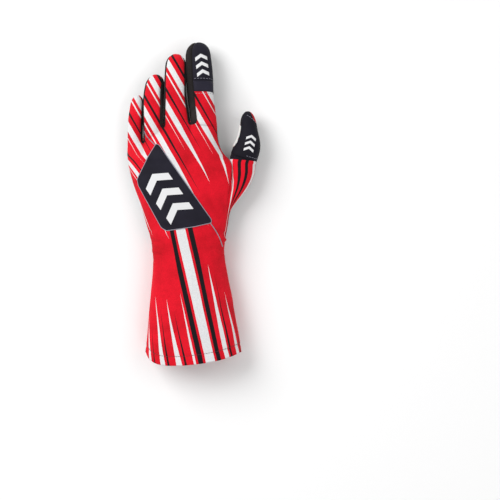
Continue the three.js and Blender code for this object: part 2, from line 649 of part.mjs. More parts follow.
// A vertical prism over a plan outline, as a solid for cutting pieces out of a sheet.
function prism(points, low, high) {
  const outline = new THREE.Shape(points.map(([x, y]) => new THREE.Vector2(x, y)));
  const geometry = new THREE.ExtrudeGeometry(outline, { depth: high - low, bevelEnabled: false });
  geometry.translate(0, 0, low);
  geometry.deleteAttribute("normal");
  geometry.deleteAttribute("uv");
  const merged = mergeVertices(geometry, 1e-4);
  return new wasm.Manifold(
    new wasm.Mesh({
      numProp: 3,
      vertProperties: merged.attributes.position.array,
      triVerts: new Uint32Array(merged.index.array),
    }),
  );
}

const glove = new THREE.Group();
const cloth = { color: 0xd8101f, roughness: 0.8, metalness: 0 };
const suede = { color: 0x1b1b1c, roughness: 0.95, metalness: 0 };
const navy = { color: 0x23243a, roughness: 0.7, metalness: 0 };
const silicone = { color: 0xe9e9e6, roughness: 0.45, metalness: 0 };

// Adds a solid to the glove as a named mesh with flat faces.
function addPiece(name, solid, finish) {
  const mesh = solid.getMesh();
  const positions = new Float32Array(mesh.numVert * 3);
  for (let v = 0; v < mesh.numVert; v++)
    positions.set(mesh.vertProperties.subarray(v * mesh.numProp, v * mesh.numProp + 3), v * 3);
  const geometry = new THREE.BufferGeometry();
  geometry.setAttribute("position", new THREE.BufferAttribute(positions, 3));
  geometry.setIndex(new THREE.BufferAttribute(mesh.triVerts, 1));
  const piece = new THREE.Mesh(geometry, new THREE.MeshStandardMaterial({ ...finish, flatShading: true }));
  piece.name = name;
  glove.add(piece);
}

const redBacks = ["cuff_top", "back_panel", ...FINGERS.map(({ name }) => name + "_back")];
const panelFinishes = {
  ...Object.fromEntries(redBacks.map((name) => [name, cloth])),
  thumb_back: cloth,
  cuff_underside: cloth,
  palm_panel: suede,
  sidewall_little_ring: suede,
  sidewall_ring_middle: suede,
  sidewall_middle_index: suede,
  index_cap: navy,
  index_band: navy,
  thumb_cap: navy,
};
for (const [name, finish] of Object.entries(panelFinishes))
  addPiece(name, sheetSolid(({ panel }) => panel === name, 0, -WALL), finish);

// The turned-in hem inside the cuff's mouth.
addPiece("hem_facing", sheetSolid(({ hem }) => hem, -WALL - SEAM_GAP, -WALL - SEAM_GAP - FOLD_THICK, 0), cloth);

// The badge stands on the back panel.
const onPalm = ([across, up]) => {
  const y = CUFF_LENGTH + up * PALM_LENGTH;
  const { outer, seam } = outlineAt(y);
  return [lerp(outer, seam, across), y];
};
const badgeCentre = onPalm([BADGE_PLACE.across, BADGE_PLACE.up]);
const lean = radians(BADGE_TURN);
const badgeOutline = BADGE.map(([across, along]) => {
  const x = across * BADGE_WIDTH;
  const y = along * BADGE_LENGTH;
  return [badgeCentre[0] + x * Math.cos(lean) + y * Math.sin(-lean), badgeCentre[1] + x * Math.sin(lean) + y * Math.cos(lean)];
});
const top = PALM_DEPTH * 2;
const overBack = sheetSolid(({ panel }) => redBacks.includes(panel), SEAM_GAP + BADGE_THICK, SEAM_GAP);
addPiece("badge", overBack.intersect(prism(badgeOutline.reverse(), FLOOR, top)), navy);

// The grips stand on the palm panel, on its underside only.
const overPalm = sheetSolid(({ panel }) => panel === "palm_panel", SEAM_GAP + GRIP_THICK, SEAM_GAP);
function addGrip(name, outline, height = top) {
  const area = THREE.ShapeUtils.area(outline.map(([x, y]) => new THREE.Vector2(x, y)));
  const turned = area > 0 ? outline : [...outline].reverse();
  addPiece(name, overPalm.intersect(prism(turned, -FLOOR, height)), silicone);
}
for (const [name, corners] of Object.entries(PALM_GRIPS)) addGrip(name, corners.map(onPalm));

// A plan point of a finger, across in half-widths and along in shares of its length.
const onTube = (tube, halfWidth, across, along) => {
  const middle = tube.point(180, along);
  return [middle.x + across * halfWidth, middle.y];
};
function addBars(tube, halfWidth, bars) {
  for (let k = 0; k < bars.count; k++) {
    const [x, y] = onTube(tube, halfWidth, 0, clamp(bars.first, 0, 1));
    const start = y + (bars.first < 0 ? bars.first * tube.length : 0) + k * bars.step;
    const half = bars.reach * halfWidth;
    const corners = [[-half, -bars.slant], [half, bars.slant], [half, bars.slant + bars.width], [-half, bars.width - bars.slant]];
    addGrip(tube.name + "_bar_" + (k + 1), corners.map(([dx, dy]) => [x + dx, start + dy]));
  }
}
tubes.forEach((tube, i) => {
  const { halfWidth } = FINGERS[i];
  addGrip(tube.name + "_pad", FINGER_PAD.map(([across, along]) => onTube(tube, halfWidth, across, along)));
  addBars(tube, halfWidth, FINGER_BARS);
});
const thumbSide = thumbTube.point(-90, 0.5).z;
addGrip("thumb_pad", THUMB_PAD.map(([across, along]) => onTube(thumbTube, THUMB.halfWidth * 0.8, across, along)), thumbSide);
addBars(thumbTube, THUMB.halfWidth, THUMB_BARS);

// The origin is the middle of the underside.
const bounds = new THREE.Box3().setFromObject(glove);
const middle = bounds.getCenter(new THREE.Vector3());
glove.position.set(-middle.x, -middle.y, -bounds.min.z);
glove.name = "karting_glove";

export default glove;
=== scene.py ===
"""A left-hand karting glove lying on its palm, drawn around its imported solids.

The whole skin is one surface worked out in millimetres from the glove's sizes, split along its seams
into the sewn panels, and each panel gets its own thickness, folds and cloth. The badge and the palm's
grips are raised sheets laid on that skin, and the stitches are short threads laid along it.
"""

import math

import bpy
import numpy as np
from bpy.props import FloatProperty, FloatVectorProperty, IntProperty, PointerProperty
from bpy.types import Operator, Panel, PropertyGroup
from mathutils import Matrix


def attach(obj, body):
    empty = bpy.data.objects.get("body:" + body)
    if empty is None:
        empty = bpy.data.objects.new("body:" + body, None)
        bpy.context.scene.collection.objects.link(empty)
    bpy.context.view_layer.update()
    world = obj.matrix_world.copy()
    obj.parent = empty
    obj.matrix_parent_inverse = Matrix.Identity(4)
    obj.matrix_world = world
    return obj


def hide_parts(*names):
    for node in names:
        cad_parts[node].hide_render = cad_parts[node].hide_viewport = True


bl_info = {
    "name": "Karting glove",
    "version": (1, 0, 0),
    "blender": (4, 5, 0),
    "location": "View3D > Sidebar > Glove",
    "description": "Builds a left-hand karting glove with printed cloth, suede palm and raised grips",
    "category": "Object",
}

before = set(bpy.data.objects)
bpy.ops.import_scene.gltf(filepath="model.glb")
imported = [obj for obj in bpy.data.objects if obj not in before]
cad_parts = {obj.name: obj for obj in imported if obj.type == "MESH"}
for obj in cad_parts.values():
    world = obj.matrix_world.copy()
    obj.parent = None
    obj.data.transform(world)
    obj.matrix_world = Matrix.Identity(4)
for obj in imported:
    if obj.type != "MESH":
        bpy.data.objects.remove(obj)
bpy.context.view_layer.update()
MM = 0.001

# Sizes of the glove, in millimetres, as its solids have them
CUFF_LENGTH = 118.0
PALM_LENGTH = 106.0
WEB_REACH = 72.8
HEM_WIDTH = 87.0
WRIST_WIDTH = 66.0
HEM_DEPTH = 38.0
WRIST_DEPTH = 33.0
PALM_DEPTH = 33.0
HEM_DIP = 12.5
HEM_FOLD = 8.5
HEM_GAP = 0.25
HEM_THICKNESS = 0.9
GROUND = 1.0  # room that the grips keep under the hand
RISE_FROM = 0.6  # share of the cuff past which that room opens
TIP_DOME = 12.0
CROTCH_ROUND = 4.5
CROTCH_DEPTH = 3.5
INDEX_CAP = 38.5
INDEX_BAND = 10.0
THUMB_CAP = 42.0
THUMB_LENGTH = 45.0
THUMB_HALF = 12.8
THUMB_THICK = 11.5
WEB_ROUND = 9.0
SEAM_GAP = 0.3
ORIGIN = np.array([0.02, -150.13, 0.0])  # moves the cuff's mouth line to the middle of the glove

# Fingers: pitch, half width, half thickness, length, drop of the left crotch, drop of the right one
FINGERS = [
    ("little", 14.9, 6.8, 8.3, 43.6, 20.0, 16.5),
    ("ring", 18.4, 9.4, 9.0, 48.3, 16.5, 2.2),
    ("middle", 25.7, 10.1, 9.6, 65.0, 2.2, 0.0),
    ("index", 25.0, 12.4, 9.6, 76.4, 0.0, 4.0),
]
PALM_WIDTH = sum(f[1] for f in FINGERS)

# Finger axes: along, sideways share of the length, height share of the palm's depth
AXES = {
    "little": [(0, -0.01, 0.36), (0.45, -0.004, 0.46), (0.8, 0.025, 0.37), (1, 0.05, 0.24)],
    "ring": [(0, 0, 0.46), (0.45, 0, 0.62), (0.8, 0.015, 0.46), (1, 0.06, 0.27)],
    "middle": [(0, 0, 0.53), (0.45, -0.025, 0.66), (0.8, -0.02, 0.5), (1, 0, 0.31)],
    "index": [(0, 0, 0.53), (0.45, -0.045, 0.56), (0.8, -0.07, 0.46), (1, -0.075, 0.36)],
    "thumb": [
        (0, 0, 0.45), (0.11, 0.036, 0.47), (0.32, 0.104, 0.48), (0.6, 0.119, 0.46), (0.82, 0.109, 0.41),
        (1, 0.088, 0.34),
    ],
}

# Girth: along, share of the half width, share of the half thickness
GIRTH = [(0, 1, 1.02), (0.35, 0.99, 0.99), (0.6, 1.01, 1), (0.85, 0.95, 0.94), (1, 0.88, 0.86)]
THUMB_GIRTH = [
    (0, 1, 1), (0.11, 1.03, 0.97), (0.32, 0.96, 0.87), (0.6, 0.7, 0.74), (0.82, 0.57, 0.64), (1, 0.5, 0.56),
]
TIP_POWER = 2.3
SECTION_POWER = 2.25

# Degrees from the crown, and from the pad, at which the panels end: the back's left and right, then
# the palm's left and right
EDGES = {
    "little": (90, 56, 90, 52),
    "ring": (66, 44, 52, 52),
    "middle": (60, 62, 52, 52),
    "index": (26, 90, 56, 90),
    "thumb": (66, 90, 114, 90),
}

# Outline: along, shares of the hem's, wrist's and palm's widths, the thumb's share, the middle's place
OUTLINE = [
    (0, 1, 0, 0, 0.22, -0.03),
    (0.12, 0.945, 0, 0, 0.24, -0.041),
    (0.25, 0.77, 0.19, 0, 0.2, -0.038),
    (0.44, 0.5, 0.48, 0, 0.14, -0.046),
    (0.55, 0.33, 0.66, 0, 0.12, -0.045),
    (0.72, 0.1, 0.9, 0, 0.06, -0.047),
    (0.88, 0, 0.982, 0, 0.05, -0.064),
    (1, 0, 1.033, 0, 0.05, -0.073),
    (1.123, 0, 0.833, 0.235, 0.05, -0.083),
    (1.213, 0, 0.685, 0.399, 0.08, -0.093),
    (1.32, 0, 0.509, 0.588, 0.23, -0.11),
    (1.425, 0, 0.339, 0.78, 0.36, -0.127),
    (1.528, 0, 0.169, 0.974, 0.49, -0.137),
    (1.632, 0, 0, 1.145, 0.72, -0.15),
    (1.687, 0, 0, 1.13, 0.96, -0.166),
    (1.74, 0, 0, 1.083, 1, -0.196),
    (1.792, 0, 0, 1.052, 1, -0.214),
    (1.896, 0, 0, 1.02, 1, -0.231),
    (2, 0, 0, 0.992, 1, -0.238),
]

# Profile: along, shares of the hem's, wrist's and palm's depths, outer seam, inner seam, crown, underside
PROFILE = [
    (0, 1, 0, 0, 0.5, 0.5, 1, -0.02),
    (0.45, 0.5, 0.5, 0, 0.5, 0.5, 1, -0.02),
    (0.9, 0, 1, 0, 0.5, 0.52, 0.98, 0.08),
    (1.15, 0, 0.5, 0.5, 0.44, 0.5, 1, 0.02),
    (1.45, 0, 0, 1, 0.38, 0.46, 1.03, -0.04),
    (1.69, 0, 0, 1, 0.36, 0.47, 1.03, 0),
    (2, 0, 0, 1, 0.34, 0.53, 0.98, 0.08),
]

# Mouth line of the cuff: place across, share of the hem's dip
HEM_LINE = [
    (0, 1), (0.05, 0.46), (0.15, 0.09), (0.32, 0), (0.57, 0.15), (0.79, 0.44), (0.92, 0.72), (1, 0.97),
]

# Palm grips: corners across the palm and up it, and the grooves that part each one: across, up, degrees
PALM_GRIPS = {
    "knuckle_grip_outer": (
        [(0.09, 0.58), (0.1, 0.7), (0.18, 0.76), (0.44, 0.8), (0.4, 0.71), (0.26, 0.62)],
        [(0.2, 0.67, 62)],
    ),
    "knuckle_grip_inner": (
        [
            (0.5, 0.76), (0.56, 0.86), (0.66, 0.9), (0.9, 0.9), (0.96, 0.82), (0.93, 0.7), (0.8, 0.64),
            (0.7, 0.7), (0.58, 0.68),
        ],
        [(0.84, 0.72, 28), (0.62, 0.78, -58)],
    ),
    "middle_grip": (
        [
            (0.08, 0.44), (0.08, 0.52), (0.28, 0.58), (0.46, 0.7), (0.55, 0.64), (0.46, 0.56), (0.48, 0.46),
            (0.34, 0.4), (0.28, 0.5),
        ],
        [(0.3, 0.54, 100)],
    ),
    "thumb_mount_grip": (
        [(0.6, 0.4), (0.58, 0.56), (0.7, 0.61), (0.88, 0.57), (0.97, 0.46), (0.9, 0.36), (0.74, 0.33)],
        [(0.83, 0.44, 36)],
    ),
    "heel_grip_outer": (
        [(0.13, 0.18), (0.1, 0.36), (0.2, 0.39), (0.4, 0.34), (0.48, 0.26), (0.34, 0.15), (0.22, 0.13)],
        [(0.24, 0.25, -34)],
    ),
    "heel_grip_inner": (
        [(0.44, 0.12), (0.56, 0.28), (0.7, 0.29), (0.84, 0.25), (0.74, 0.13), (0.6, 0.1)],
        [(0.62, 0.2, 68)],
    ),
}
# Fingertip pad: shares of the half width across and of the finger's length along
FINGER_PAD = [(-0.6, 0.5), (-0.7, 0.84), (-0.42, 0.94), (0.4, 0.94), (0.7, 0.86), (0.66, 0.56), (0.2, 0.44)]
# Thumb pad: the same, unrolled round the thumb, whose half width takes up the degrees given
THUMB_ROUND = 78
THUMB_PAD_WIDTH = 0.8  # share of the thumb's half width that its pad's shares are taken of
THUMB_PAD = [(-1.8, 0.2), (-1.8, 0.7), (-0.7, 0.86), (0.3, 0.86), (0.5, 0.62), (0.35, 0.24), (-0.2, 0.1)]
# Groove of the fingertip pads: a point on it, across and along, on a finger as shares and on the thumb in
# millimetres, then its lean in degrees and its width
PAD_GROOVE = (0.16, 0.62)
THUMB_PAD_GROOVE = (1.0, 28.0)
PAD_GROOVE_LEAN = 74
PAD_GROOVE_WIDTH = 1.2
# Bars below the pads: where they start as a share of the length, their number, their reach in half widths
# and half their slant, then their pitch up the glove and their thickness
FINGER_BARS = (0.1, 3, 0.62, 0.8)
THUMB_BARS = (-0.12, 2, 0.34, -1.0)
BAR_PITCH = 4.1
BAR_WIDTH = 2.3

# Badge: corners as shares of its width and length, and its place on the back, turned by its lean
BADGE = [
    (0.46, 0.51), (0.5, 0.48), (0.5, -0.47), (0.46, -0.5), (0.06, -0.43), (-0.54, -0.3), (-0.6, -0.24),
    (-0.47, 0.26), (-0.41, 0.32), (0.1, 0.44),
]
BADGE_LENGTH = 88.0
BADGE_WIDTH = 38.0
BADGE_TURN = 35.0
BADGE_PLACE = (0.35, 0.38)

# Piped seams of the back, from the badge's ends to the side seams, in millimetres from the middle
PIPED_SEAMS = [
    [(-45.6, 67.5), (-43.6, 63.0), (-40.0, 58.6), (-35.5, 54.0), (-33.0, 50.0)],
    [(13.0, -15.0), (17.0, -20.0), (21.0, -26.0), (24.6, -33.0), (26.8, -40.0)],
]

# Soft folds on the back: start x and y, end x and y, half width, height, in millimetres from the middle
BACK_FOLDS = [
    (-30, 62, -12, 50, 2.6, 0.5),
    (-8, 60, 12, 54, 2.6, -0.5),
    (-52, 48, -40, 42, 2.4, 0.5),
    (14, 58, 26, 40, 3.0, 0.55),
    (22, 44, 36, 18, 3.2, -0.6),
    (26, 40, 34, 30, 2.2, 0.5),
    (2, 46, 14, 30, 3.2, 0.35),
    (20, 10, 30, -14, 3.0, 0.55),
    (12, 12, 26, -18, 3.0, -0.45),
    (-46, 10, -40, -16, 2.6, 0.45),
    (-34, -20, 22, -26, 3.0, -0.5),
    (-30, -28, 10, -31, 2.4, 0.35),
    (-12, -30, 24, -38, 2.4, -0.3),
    (-38, -40, -33, -84, 3.4, 0.6),
    (-24, -36, -18, -96, 4.5, -0.4),
    (14, -34, 22, -90, 4.0, 0.5),
    (26, -50, 34, -110, 3.6, -0.5),
    (-6, -60, 0, -128, 6.0, 0.35),
    (-44, -30, -34, -22, 2.0, -0.5),
    (38, 62, 50, 56, 1.8, 0.35),
    (40, 44, 52, 40, 2.0, -0.45),
    (34, 22, 44, 30, 2.2, 0.45),
    (22, -31, 34, -35, 1.9, 1.7),
    (16, -41, 31, -43, 1.6, -0.8),
    (20, -48, 31, -50, 1.8, 0.6),
    (21, -25, 33, -29, 1.5, -0.7),
    (-42, -34, -28, -37, 1.8, -0.8),
    (-42, -43, -26, -46, 1.8, 0.8),
    (-40, -52, -28, -53, 1.6, -0.6),
    (-56, 40, -42, 34, 1.8, -0.4),
]
# Creases of the palm and the finger joints' undersides, the same way
PALM_FOLDS = [
    (-52, 36, 4, 50, 2.0, -0.55),
    (-48, 24, 20, 44, 2.2, -0.5),
    (26, 46, 4, 0, 2.4, -0.6),
    (30, 40, 14, -4, 2.0, 0.4),
    (-40, -6, 20, -20, 2.4, -0.5),
    (36, 36, 50, 30, 1.8, -0.45),
    (0, 88, 14, 86, 1.6, -0.5),
    (-24, 90, -10, 90, 1.6, -0.5),
    (-46, 78, -32, 80, 1.6, -0.5),
    (-60, 66, -50, 68, 1.5, -0.45),
    (-4, 112, 12, 110, 1.6, -0.45),
    (-26, 108, -12, 108, 1.6, -0.45),
    (44, 56, 56, 54, 1.6, -0.4),
]


class GloveSizes(PropertyGroup):
    """The sizes of the cloth, grips and thread that a user would change."""

    cloth: FloatProperty(
        name="Cloth thickness", description="Thickness of the sewn panels", default=1.3 * MM, unit="LENGTH"
    )
    seam: FloatProperty(
        name="Seam depth", description="How far the panels sink at their seams",
        default=0.55 * MM, unit="LENGTH",
    )
    fold: FloatProperty(name="Fold strength", description="Share of the folds' full height", default=1.35)
    gather: FloatProperty(
        name="Gather depth", description="Height of the elastic gathers under the wrist",
        default=2.2 * MM, unit="LENGTH",
    )
    gathers: IntProperty(name="Gathers", description="Number of gathers across the wrist", default=13)
    grip: FloatProperty(
        name="Grip height", description="Height of the printed grips on the palm",
        default=0.75 * MM, unit="LENGTH",
    )
    groove: FloatProperty(
        name="Grip groove", description="Width of the grooves that part the grips",
        default=1.5 * MM, unit="LENGTH",
    )
    badge: FloatProperty(
        name="Badge height", description="Height of the badge on the back", default=0.9 * MM, unit="LENGTH"
    )
    thread: FloatProperty(
        name="Thread radius", description="Radius of the sewing thread", default=0.22 * MM, unit="LENGTH"
    )
    stitch: FloatProperty(
        name="Stitch length", description="Length of one stitch", default=2.3 * MM, unit="LENGTH"
    )


class GloveColours(PropertyGroup):
    """The colours of the cloth, suede, silicone and thread."""

    red: FloatVectorProperty(
        name="Red", description="Main colour of the cloth", default=(0.72, 0.006, 0.02), subtype="COLOR"
    )
    deep_red: FloatVectorProperty(
        name="Deep red", description="Shaded parts of the red cloth",
        default=(0.5, 0.004, 0.012), subtype="COLOR",
    )
    white: FloatVectorProperty(
        name="White", description="White of the printed stripes",
        default=(0.72, 0.72, 0.73), subtype="COLOR",
    )
    black: FloatVectorProperty(
        name="Black", description="Black of the printed stripes",
        default=(0.009, 0.008, 0.01), subtype="COLOR",
    )
    navy: FloatVectorProperty(
        name="Navy", description="Badge and fingertip caps",
        default=(0.0108, 0.0098, 0.0168), subtype="COLOR",
    )
    suede: FloatVectorProperty(
        name="Suede", description="Palm and sidewalls", default=(0.013, 0.0115, 0.0115), subtype="COLOR"
    )
    grip: FloatVectorProperty(
        name="Grip", description="Silicone of the grips", default=(0.82, 0.82, 0.8), subtype="COLOR"
    )
    grey: FloatVectorProperty(
        name="Grey", description="Thin edging and thread", default=(0.3, 0.3, 0.36), subtype="COLOR"
    )
    lining: FloatVectorProperty(
        name="Lining", description="Inner face of the cloth", default=(0.42, 0.05, 0.06), subtype="COLOR"
    )


def sizes():
    """The sizes as the user has set them, lengths in metres."""
    return bpy.context.scene.glove_sizes


def colours():
    """The colours as the user has set them."""
    return bpy.context.scene.glove_colours


# Surfaces


def mix(a, b, t):
    """From a to b by the share t."""
    return a + (b - a) * t


def smooth(low, high, x):
    """From nothing at low to one at high: three squares less two cubes of the share between them."""
    t = np.clip((x - low) / (high - low), 0, 1)
    return t * t * (3 - 2 * t)


def column(table, k, at):
    """Cubic through column k of a table, with each row's slope taken from its neighbours."""
    rows = np.asarray(table, float)
    xs, ys = rows[:, 0], rows[:, k]
    slope = np.gradient(ys, xs)
    slope[1:-1] = (ys[2:] - ys[:-2]) / (xs[2:] - xs[:-2])
    x = np.clip(at, xs[0], xs[-1])
    i = np.clip(np.searchsorted(xs, x, side="right") - 1, 0, len(xs) - 2)
    span = xs[i + 1] - xs[i]
    t = (x - xs[i]) / span
    rest = 1 - t
    ends = ys[i] * (1 + 2 * t) * rest * rest + ys[i + 1] * t * t * (3 - 2 * t)
    return ends + slope[i] * span * t * rest * rest - slope[i + 1] * span * t * t * rest


CROTCH_LEVEL = CUFF_LENGTH + PALM_LENGTH
WEB_LEVEL = CUFF_LENGTH + WEB_REACH


def along_of(y):
    """Nothing at the cuff's mouth, one at the wrist and two at the fingers, evenly between."""
    return np.where(y < CUFF_LENGTH, y / CUFF_LENGTH, 1 + (y - CUFF_LENGTH) / PALM_LENGTH)


def ground_at(y):
    """Height of the lowest cloth: nothing at the cuff, rising smoothly to the room under the hand."""
    return GROUND * smooth(CUFF_LENGTH * RISE_FROM, CUFF_LENGTH, y)


def outline_at(y):
    """The outer seam, thumb seam and thumb edge at height y: a middle and a width mixed from the tables."""
    at = along_of(np.asarray(y, float))
    width = column(OUTLINE, 1, at) * HEM_WIDTH + column(OUTLINE, 2, at) * WRIST_WIDTH
    width = width + column(OUTLINE, 3, at) * PALM_WIDTH
    middle = column(OUTLINE, 5, at) * PALM_WIDTH
    seam = middle + width / 2
    return middle - width / 2, seam, seam + column(OUTLINE, 4, at) * 2 * THUMB_HALF


def hem_at(x):
    """Height of the cuff's mouth line at places across the hem."""
    outer, _, edge = outline_at(0.0)
    return HEM_DIP * column(HEM_LINE, 1, (x - outer) / (edge - outer))


def mouth_places(panel, s):
    """Places across the cuff's mouth: the hand's part runs to the thumb seam, the rest to the edge."""
    outer, seam, edge = outline_at(0.0)
    share = share_across(panel, s)
    return np.where(s <= 4, mix(outer, seam, share), mix(seam, edge, share))


def profile_at(y):
    """Heights of the outer seam, inner seam, crown and underside at height y up the glove."""
    at = along_of(np.asarray(y, float))
    depth = column(PROFILE, 1, at) * HEM_DEPTH + column(PROFILE, 2, at) * WRIST_DEPTH
    depth = depth + column(PROFILE, 3, at) * PALM_DEPTH
    return [ground_at(y) + column(PROFILE, k, at) * depth for k in (4, 5, 6, 7)]


ROOTS = float(outline_at(CROTCH_LEVEL)[0]) + np.concatenate([[0], np.cumsum([f[1] for f in FINGERS])])


class Tube:
    """A finger: an axis through the table's points, with a rounded section and a domed end."""

    def __init__(
        self, name, base, length, half, thick, girth, root=None, drops=(0, 0), sides=(False, False)
    ):
        self.name, self.base, self.length, self.half, self.thick = name, base, length, half, thick
        self.girth, self.root, self.drops, self.sides = girth, root or half, drops, sides
        self.edges = EDGES[name]

    def start(self, share):
        """Share of the length at which the panels start, between the drops of the two crotches."""
        return (max(self.drops) - mix(self.drops[0], self.drops[1], share)) / self.length

    def centre(self, t):
        """The axis: the base, plus the table's sideways share of the length and its height."""
        axis = AXES[self.name]
        x = self.base[0] + column(axis, 1, t) * self.length
        return np.stack([x, self.base[1] + t * self.length, GROUND + column(axis, 2, t) * PALM_DEPTH], -1)

    def point(self, degrees, t):
        """The axis point, plus half width times a rounded sine across, plus half thickness times a
        rounded cosine up, both closing to nothing over the dome."""
        degrees, t = np.broadcast_arrays(np.asarray(degrees, float), np.asarray(t, float))
        tangent = self.centre(np.minimum(t + 0.01, 1)) - self.centre(np.maximum(t - 0.01, 0))
        tangent = tangent / np.linalg.norm(tangent, axis=-1, keepdims=True)
        across = np.stack([tangent[..., 1], -tangent[..., 0], 0 * t], -1)
        across = across / np.linalg.norm(across, axis=-1, keepdims=True)
        up = np.cross(across, tangent)
        dome = TIP_DOME / self.length
        closing = np.clip((t - (1 - dome)) / dome, 0, 1)
        rounding = np.maximum(1 - closing**TIP_POWER, 0) ** (1 / TIP_POWER)
        sine, cosine = np.sin(np.radians(degrees)), np.cos(np.radians(degrees))
        wide = mix(self.root, self.half, smooth(0, 0.5, t)) * column(self.girth, 1, t)
        thick = self.thick * column(self.girth, 2, t)
        x = np.sign(sine) * np.abs(sine) ** (2 / SECTION_POWER) * wide * rounding
        z = np.sign(cosine) * np.abs(cosine) ** (2 / SECTION_POWER) * thick * rounding
        found = self.centre(t) + across * x[..., None] + up * z[..., None]
        found[..., 2] = np.maximum(found[..., 2], GROUND)
        return found


TUBES = []
for number, (name, pitch, half, thick, length, left, right) in enumerate(FINGERS):
    drop = max(left, right)
    TUBES.append(
        Tube(
            name,
            ((ROOTS[number] + ROOTS[number + 1]) / 2, CROTCH_LEVEL - drop),
            length + drop - min(left, right),
            half,
            thick,
            GIRTH,
            max(pitch / 2 - SEAM_GAP, half - 2 * SEAM_GAP),
            (left, right),
            (number > 0, number < 3),
        )
    )


def side_angle(edges, side, share):
    """Degrees round a finger on its sidewall, from the back's edge to the palm's edge."""
    if side > 0:
        return mix(edges[1], 180 - edges[3], share)
    return -mix(edges[0], 180 - edges[2], share)


def crotch_point(i, share):
    """The saddle between two fingers: the mean of their sidewalls' starts, bulging forward by a sine."""
    share = np.asarray(share, float)
    low = TUBES[i].point(side_angle(TUBES[i].edges, 1, share), TUBES[i].start(1))
    high = TUBES[i + 1].point(side_angle(TUBES[i + 1].edges, -1, share), TUBES[i + 1].start(0))
    found = (low + high) / 2
    found[..., 0] = ROOTS[i + 1]
    found[..., 1] += CROTCH_DEPTH * np.sin(np.pi * share)
    return found


def pull(distance, reach=CROTCH_ROUND):
    """One at the crotch, falling along a quarter circle to nothing at its rounding radius."""
    left = 1 - np.clip(distance / reach, 0, 1)
    return 1 - np.sqrt(np.maximum(1 - left * left, 0))


def finger_point(i, panel, share, row):
    """A finger's tube point, drawn towards the saddles next to it near its root."""
    share, row = np.broadcast_arrays(np.asarray(share, float), np.asarray(row, float))
    tube = TUBES[i]
    edges = tube.edges
    if panel == "back":
        spread, degrees = share, mix(-edges[0], edges[1], share)
        corners = (0, -edges[0], edges[1])
    elif panel == "palm":
        spread, degrees = 1 - share, mix(180 - edges[3], 180 + edges[2], share)
        corners = (1, 180 + edges[2], 180 - edges[3])
    elif panel == "right":
        spread, degrees = np.ones_like(share), side_angle(edges, 1, share)
    else:
        spread, degrees = np.zeros_like(share), side_angle(edges, -1, 1 - share)
    start = tube.start(spread)
    t = mix(start, 1, row)
    found = tube.point(degrees, t)
    left = pull((t - start) * tube.length)[..., None]
    shift = np.zeros_like(found)
    if panel in ("back", "palm"):
        if tube.sides[0]:
            gap = crotch_point(i - 1, corners[0]) - tube.point(corners[1], tube.start(0))
            shift = shift + gap * (1 - spread)[..., None]
        if tube.sides[1]:
            gap = crotch_point(i, corners[0]) - tube.point(corners[2], tube.start(1))
            shift = shift + gap * spread[..., None]
    elif panel == "right":
        shift = crotch_point(i, share) - tube.point(degrees, tube.start(1))
    else:
        shift = crotch_point(i - 1, 1 - share) - tube.point(degrees, tube.start(0))
    return found + shift * left


WEB = [float(v) for v in outline_at(WEB_LEVEL)]
THUMB = Tube(
    "thumb",
    ((WEB[1] + WEB[2]) / 2, WEB_LEVEL),
    THUMB_LENGTH,
    (WEB[2] - WEB[1]) / 2,
    THUMB_THICK,
    THUMB_GIRTH,
)
WEB_POINT = np.array([WEB[1], WEB_LEVEL, float(profile_at(WEB_LEVEL)[1])])


def thumb_point(panel, share, row):
    """The thumb's tube point, its inner edge drawn down to the web, and its seams rolling inwards."""
    share, row = np.broadcast_arrays(np.asarray(share, float), np.asarray(row, float))
    edge = mix(90, THUMB.edges[0], smooth(0, 0.45, row))
    if panel == "back":
        degrees, spread = mix(-edge, THUMB.edges[1], share), share
    else:
        degrees, spread = mix(THUMB.edges[1], 360 - edge, share), 1 - share
    left = pull(row * THUMB_LENGTH, WEB_ROUND) * (1 - spread)
    return THUMB.point(degrees, row) + (WEB_POINT - THUMB.point(-90, 0)) * left[..., None]


def parting(panel, s):
    """Where the hand parts into fingers (s up to 4) and the thumb (s from 4 to 5)."""
    s = np.asarray(s, float)
    found = np.zeros(s.shape + (3,))
    for i in range(4):
        here = (s >= i) & (s <= i + 1)
        share = s[here] - i
        found[here] = finger_point(i, panel, share if panel == "back" else 1 - share, 0)
    here = s > 4
    share = s[here] - 4
    found[here] = thumb_point(panel, share if panel == "back" else 1 - share, 0)
    return found


def share_across(panel, s):
    """Share of the way across the hand, or across the thumb's part, taken from the parting row."""
    x = parting(panel, s)[..., 0]
    ends = parting(panel, np.array([0.0, 4.0, 4.0001, 5.0]))[:, 0]
    hand = (x - ends[0]) / (ends[1] - ends[0])
    thumb = (x - ends[1]) / (ends[3] - ends[1])
    return np.clip(np.where(s <= 4, hand, thumb), 0, 1)


def lobe(across, fullness):
    """A rounded arch: nothing at both ends and one in the middle, squarer with its fullness."""
    return np.maximum(1 - np.abs(2 * across - 1) ** fullness, 0) ** (1 / fullness)


# Fullness of the hand's arches over and under it, the thumb's own rise, and how the two arches join: a
# power, and the share of the web's height over which they do
BACK_FULLNESS = 2.3
PALM_FULLNESS = 3.2
THUMB_RISE = 0.62
JOIN_POWER = 2.4
JOIN_REACH = 0.8
# Reach of the blend into the parting row: a share of the web's height by the thumb, of the palm's elsewhere
THUMB_BLEND = 0.6
HAND_BLEND = 0.3


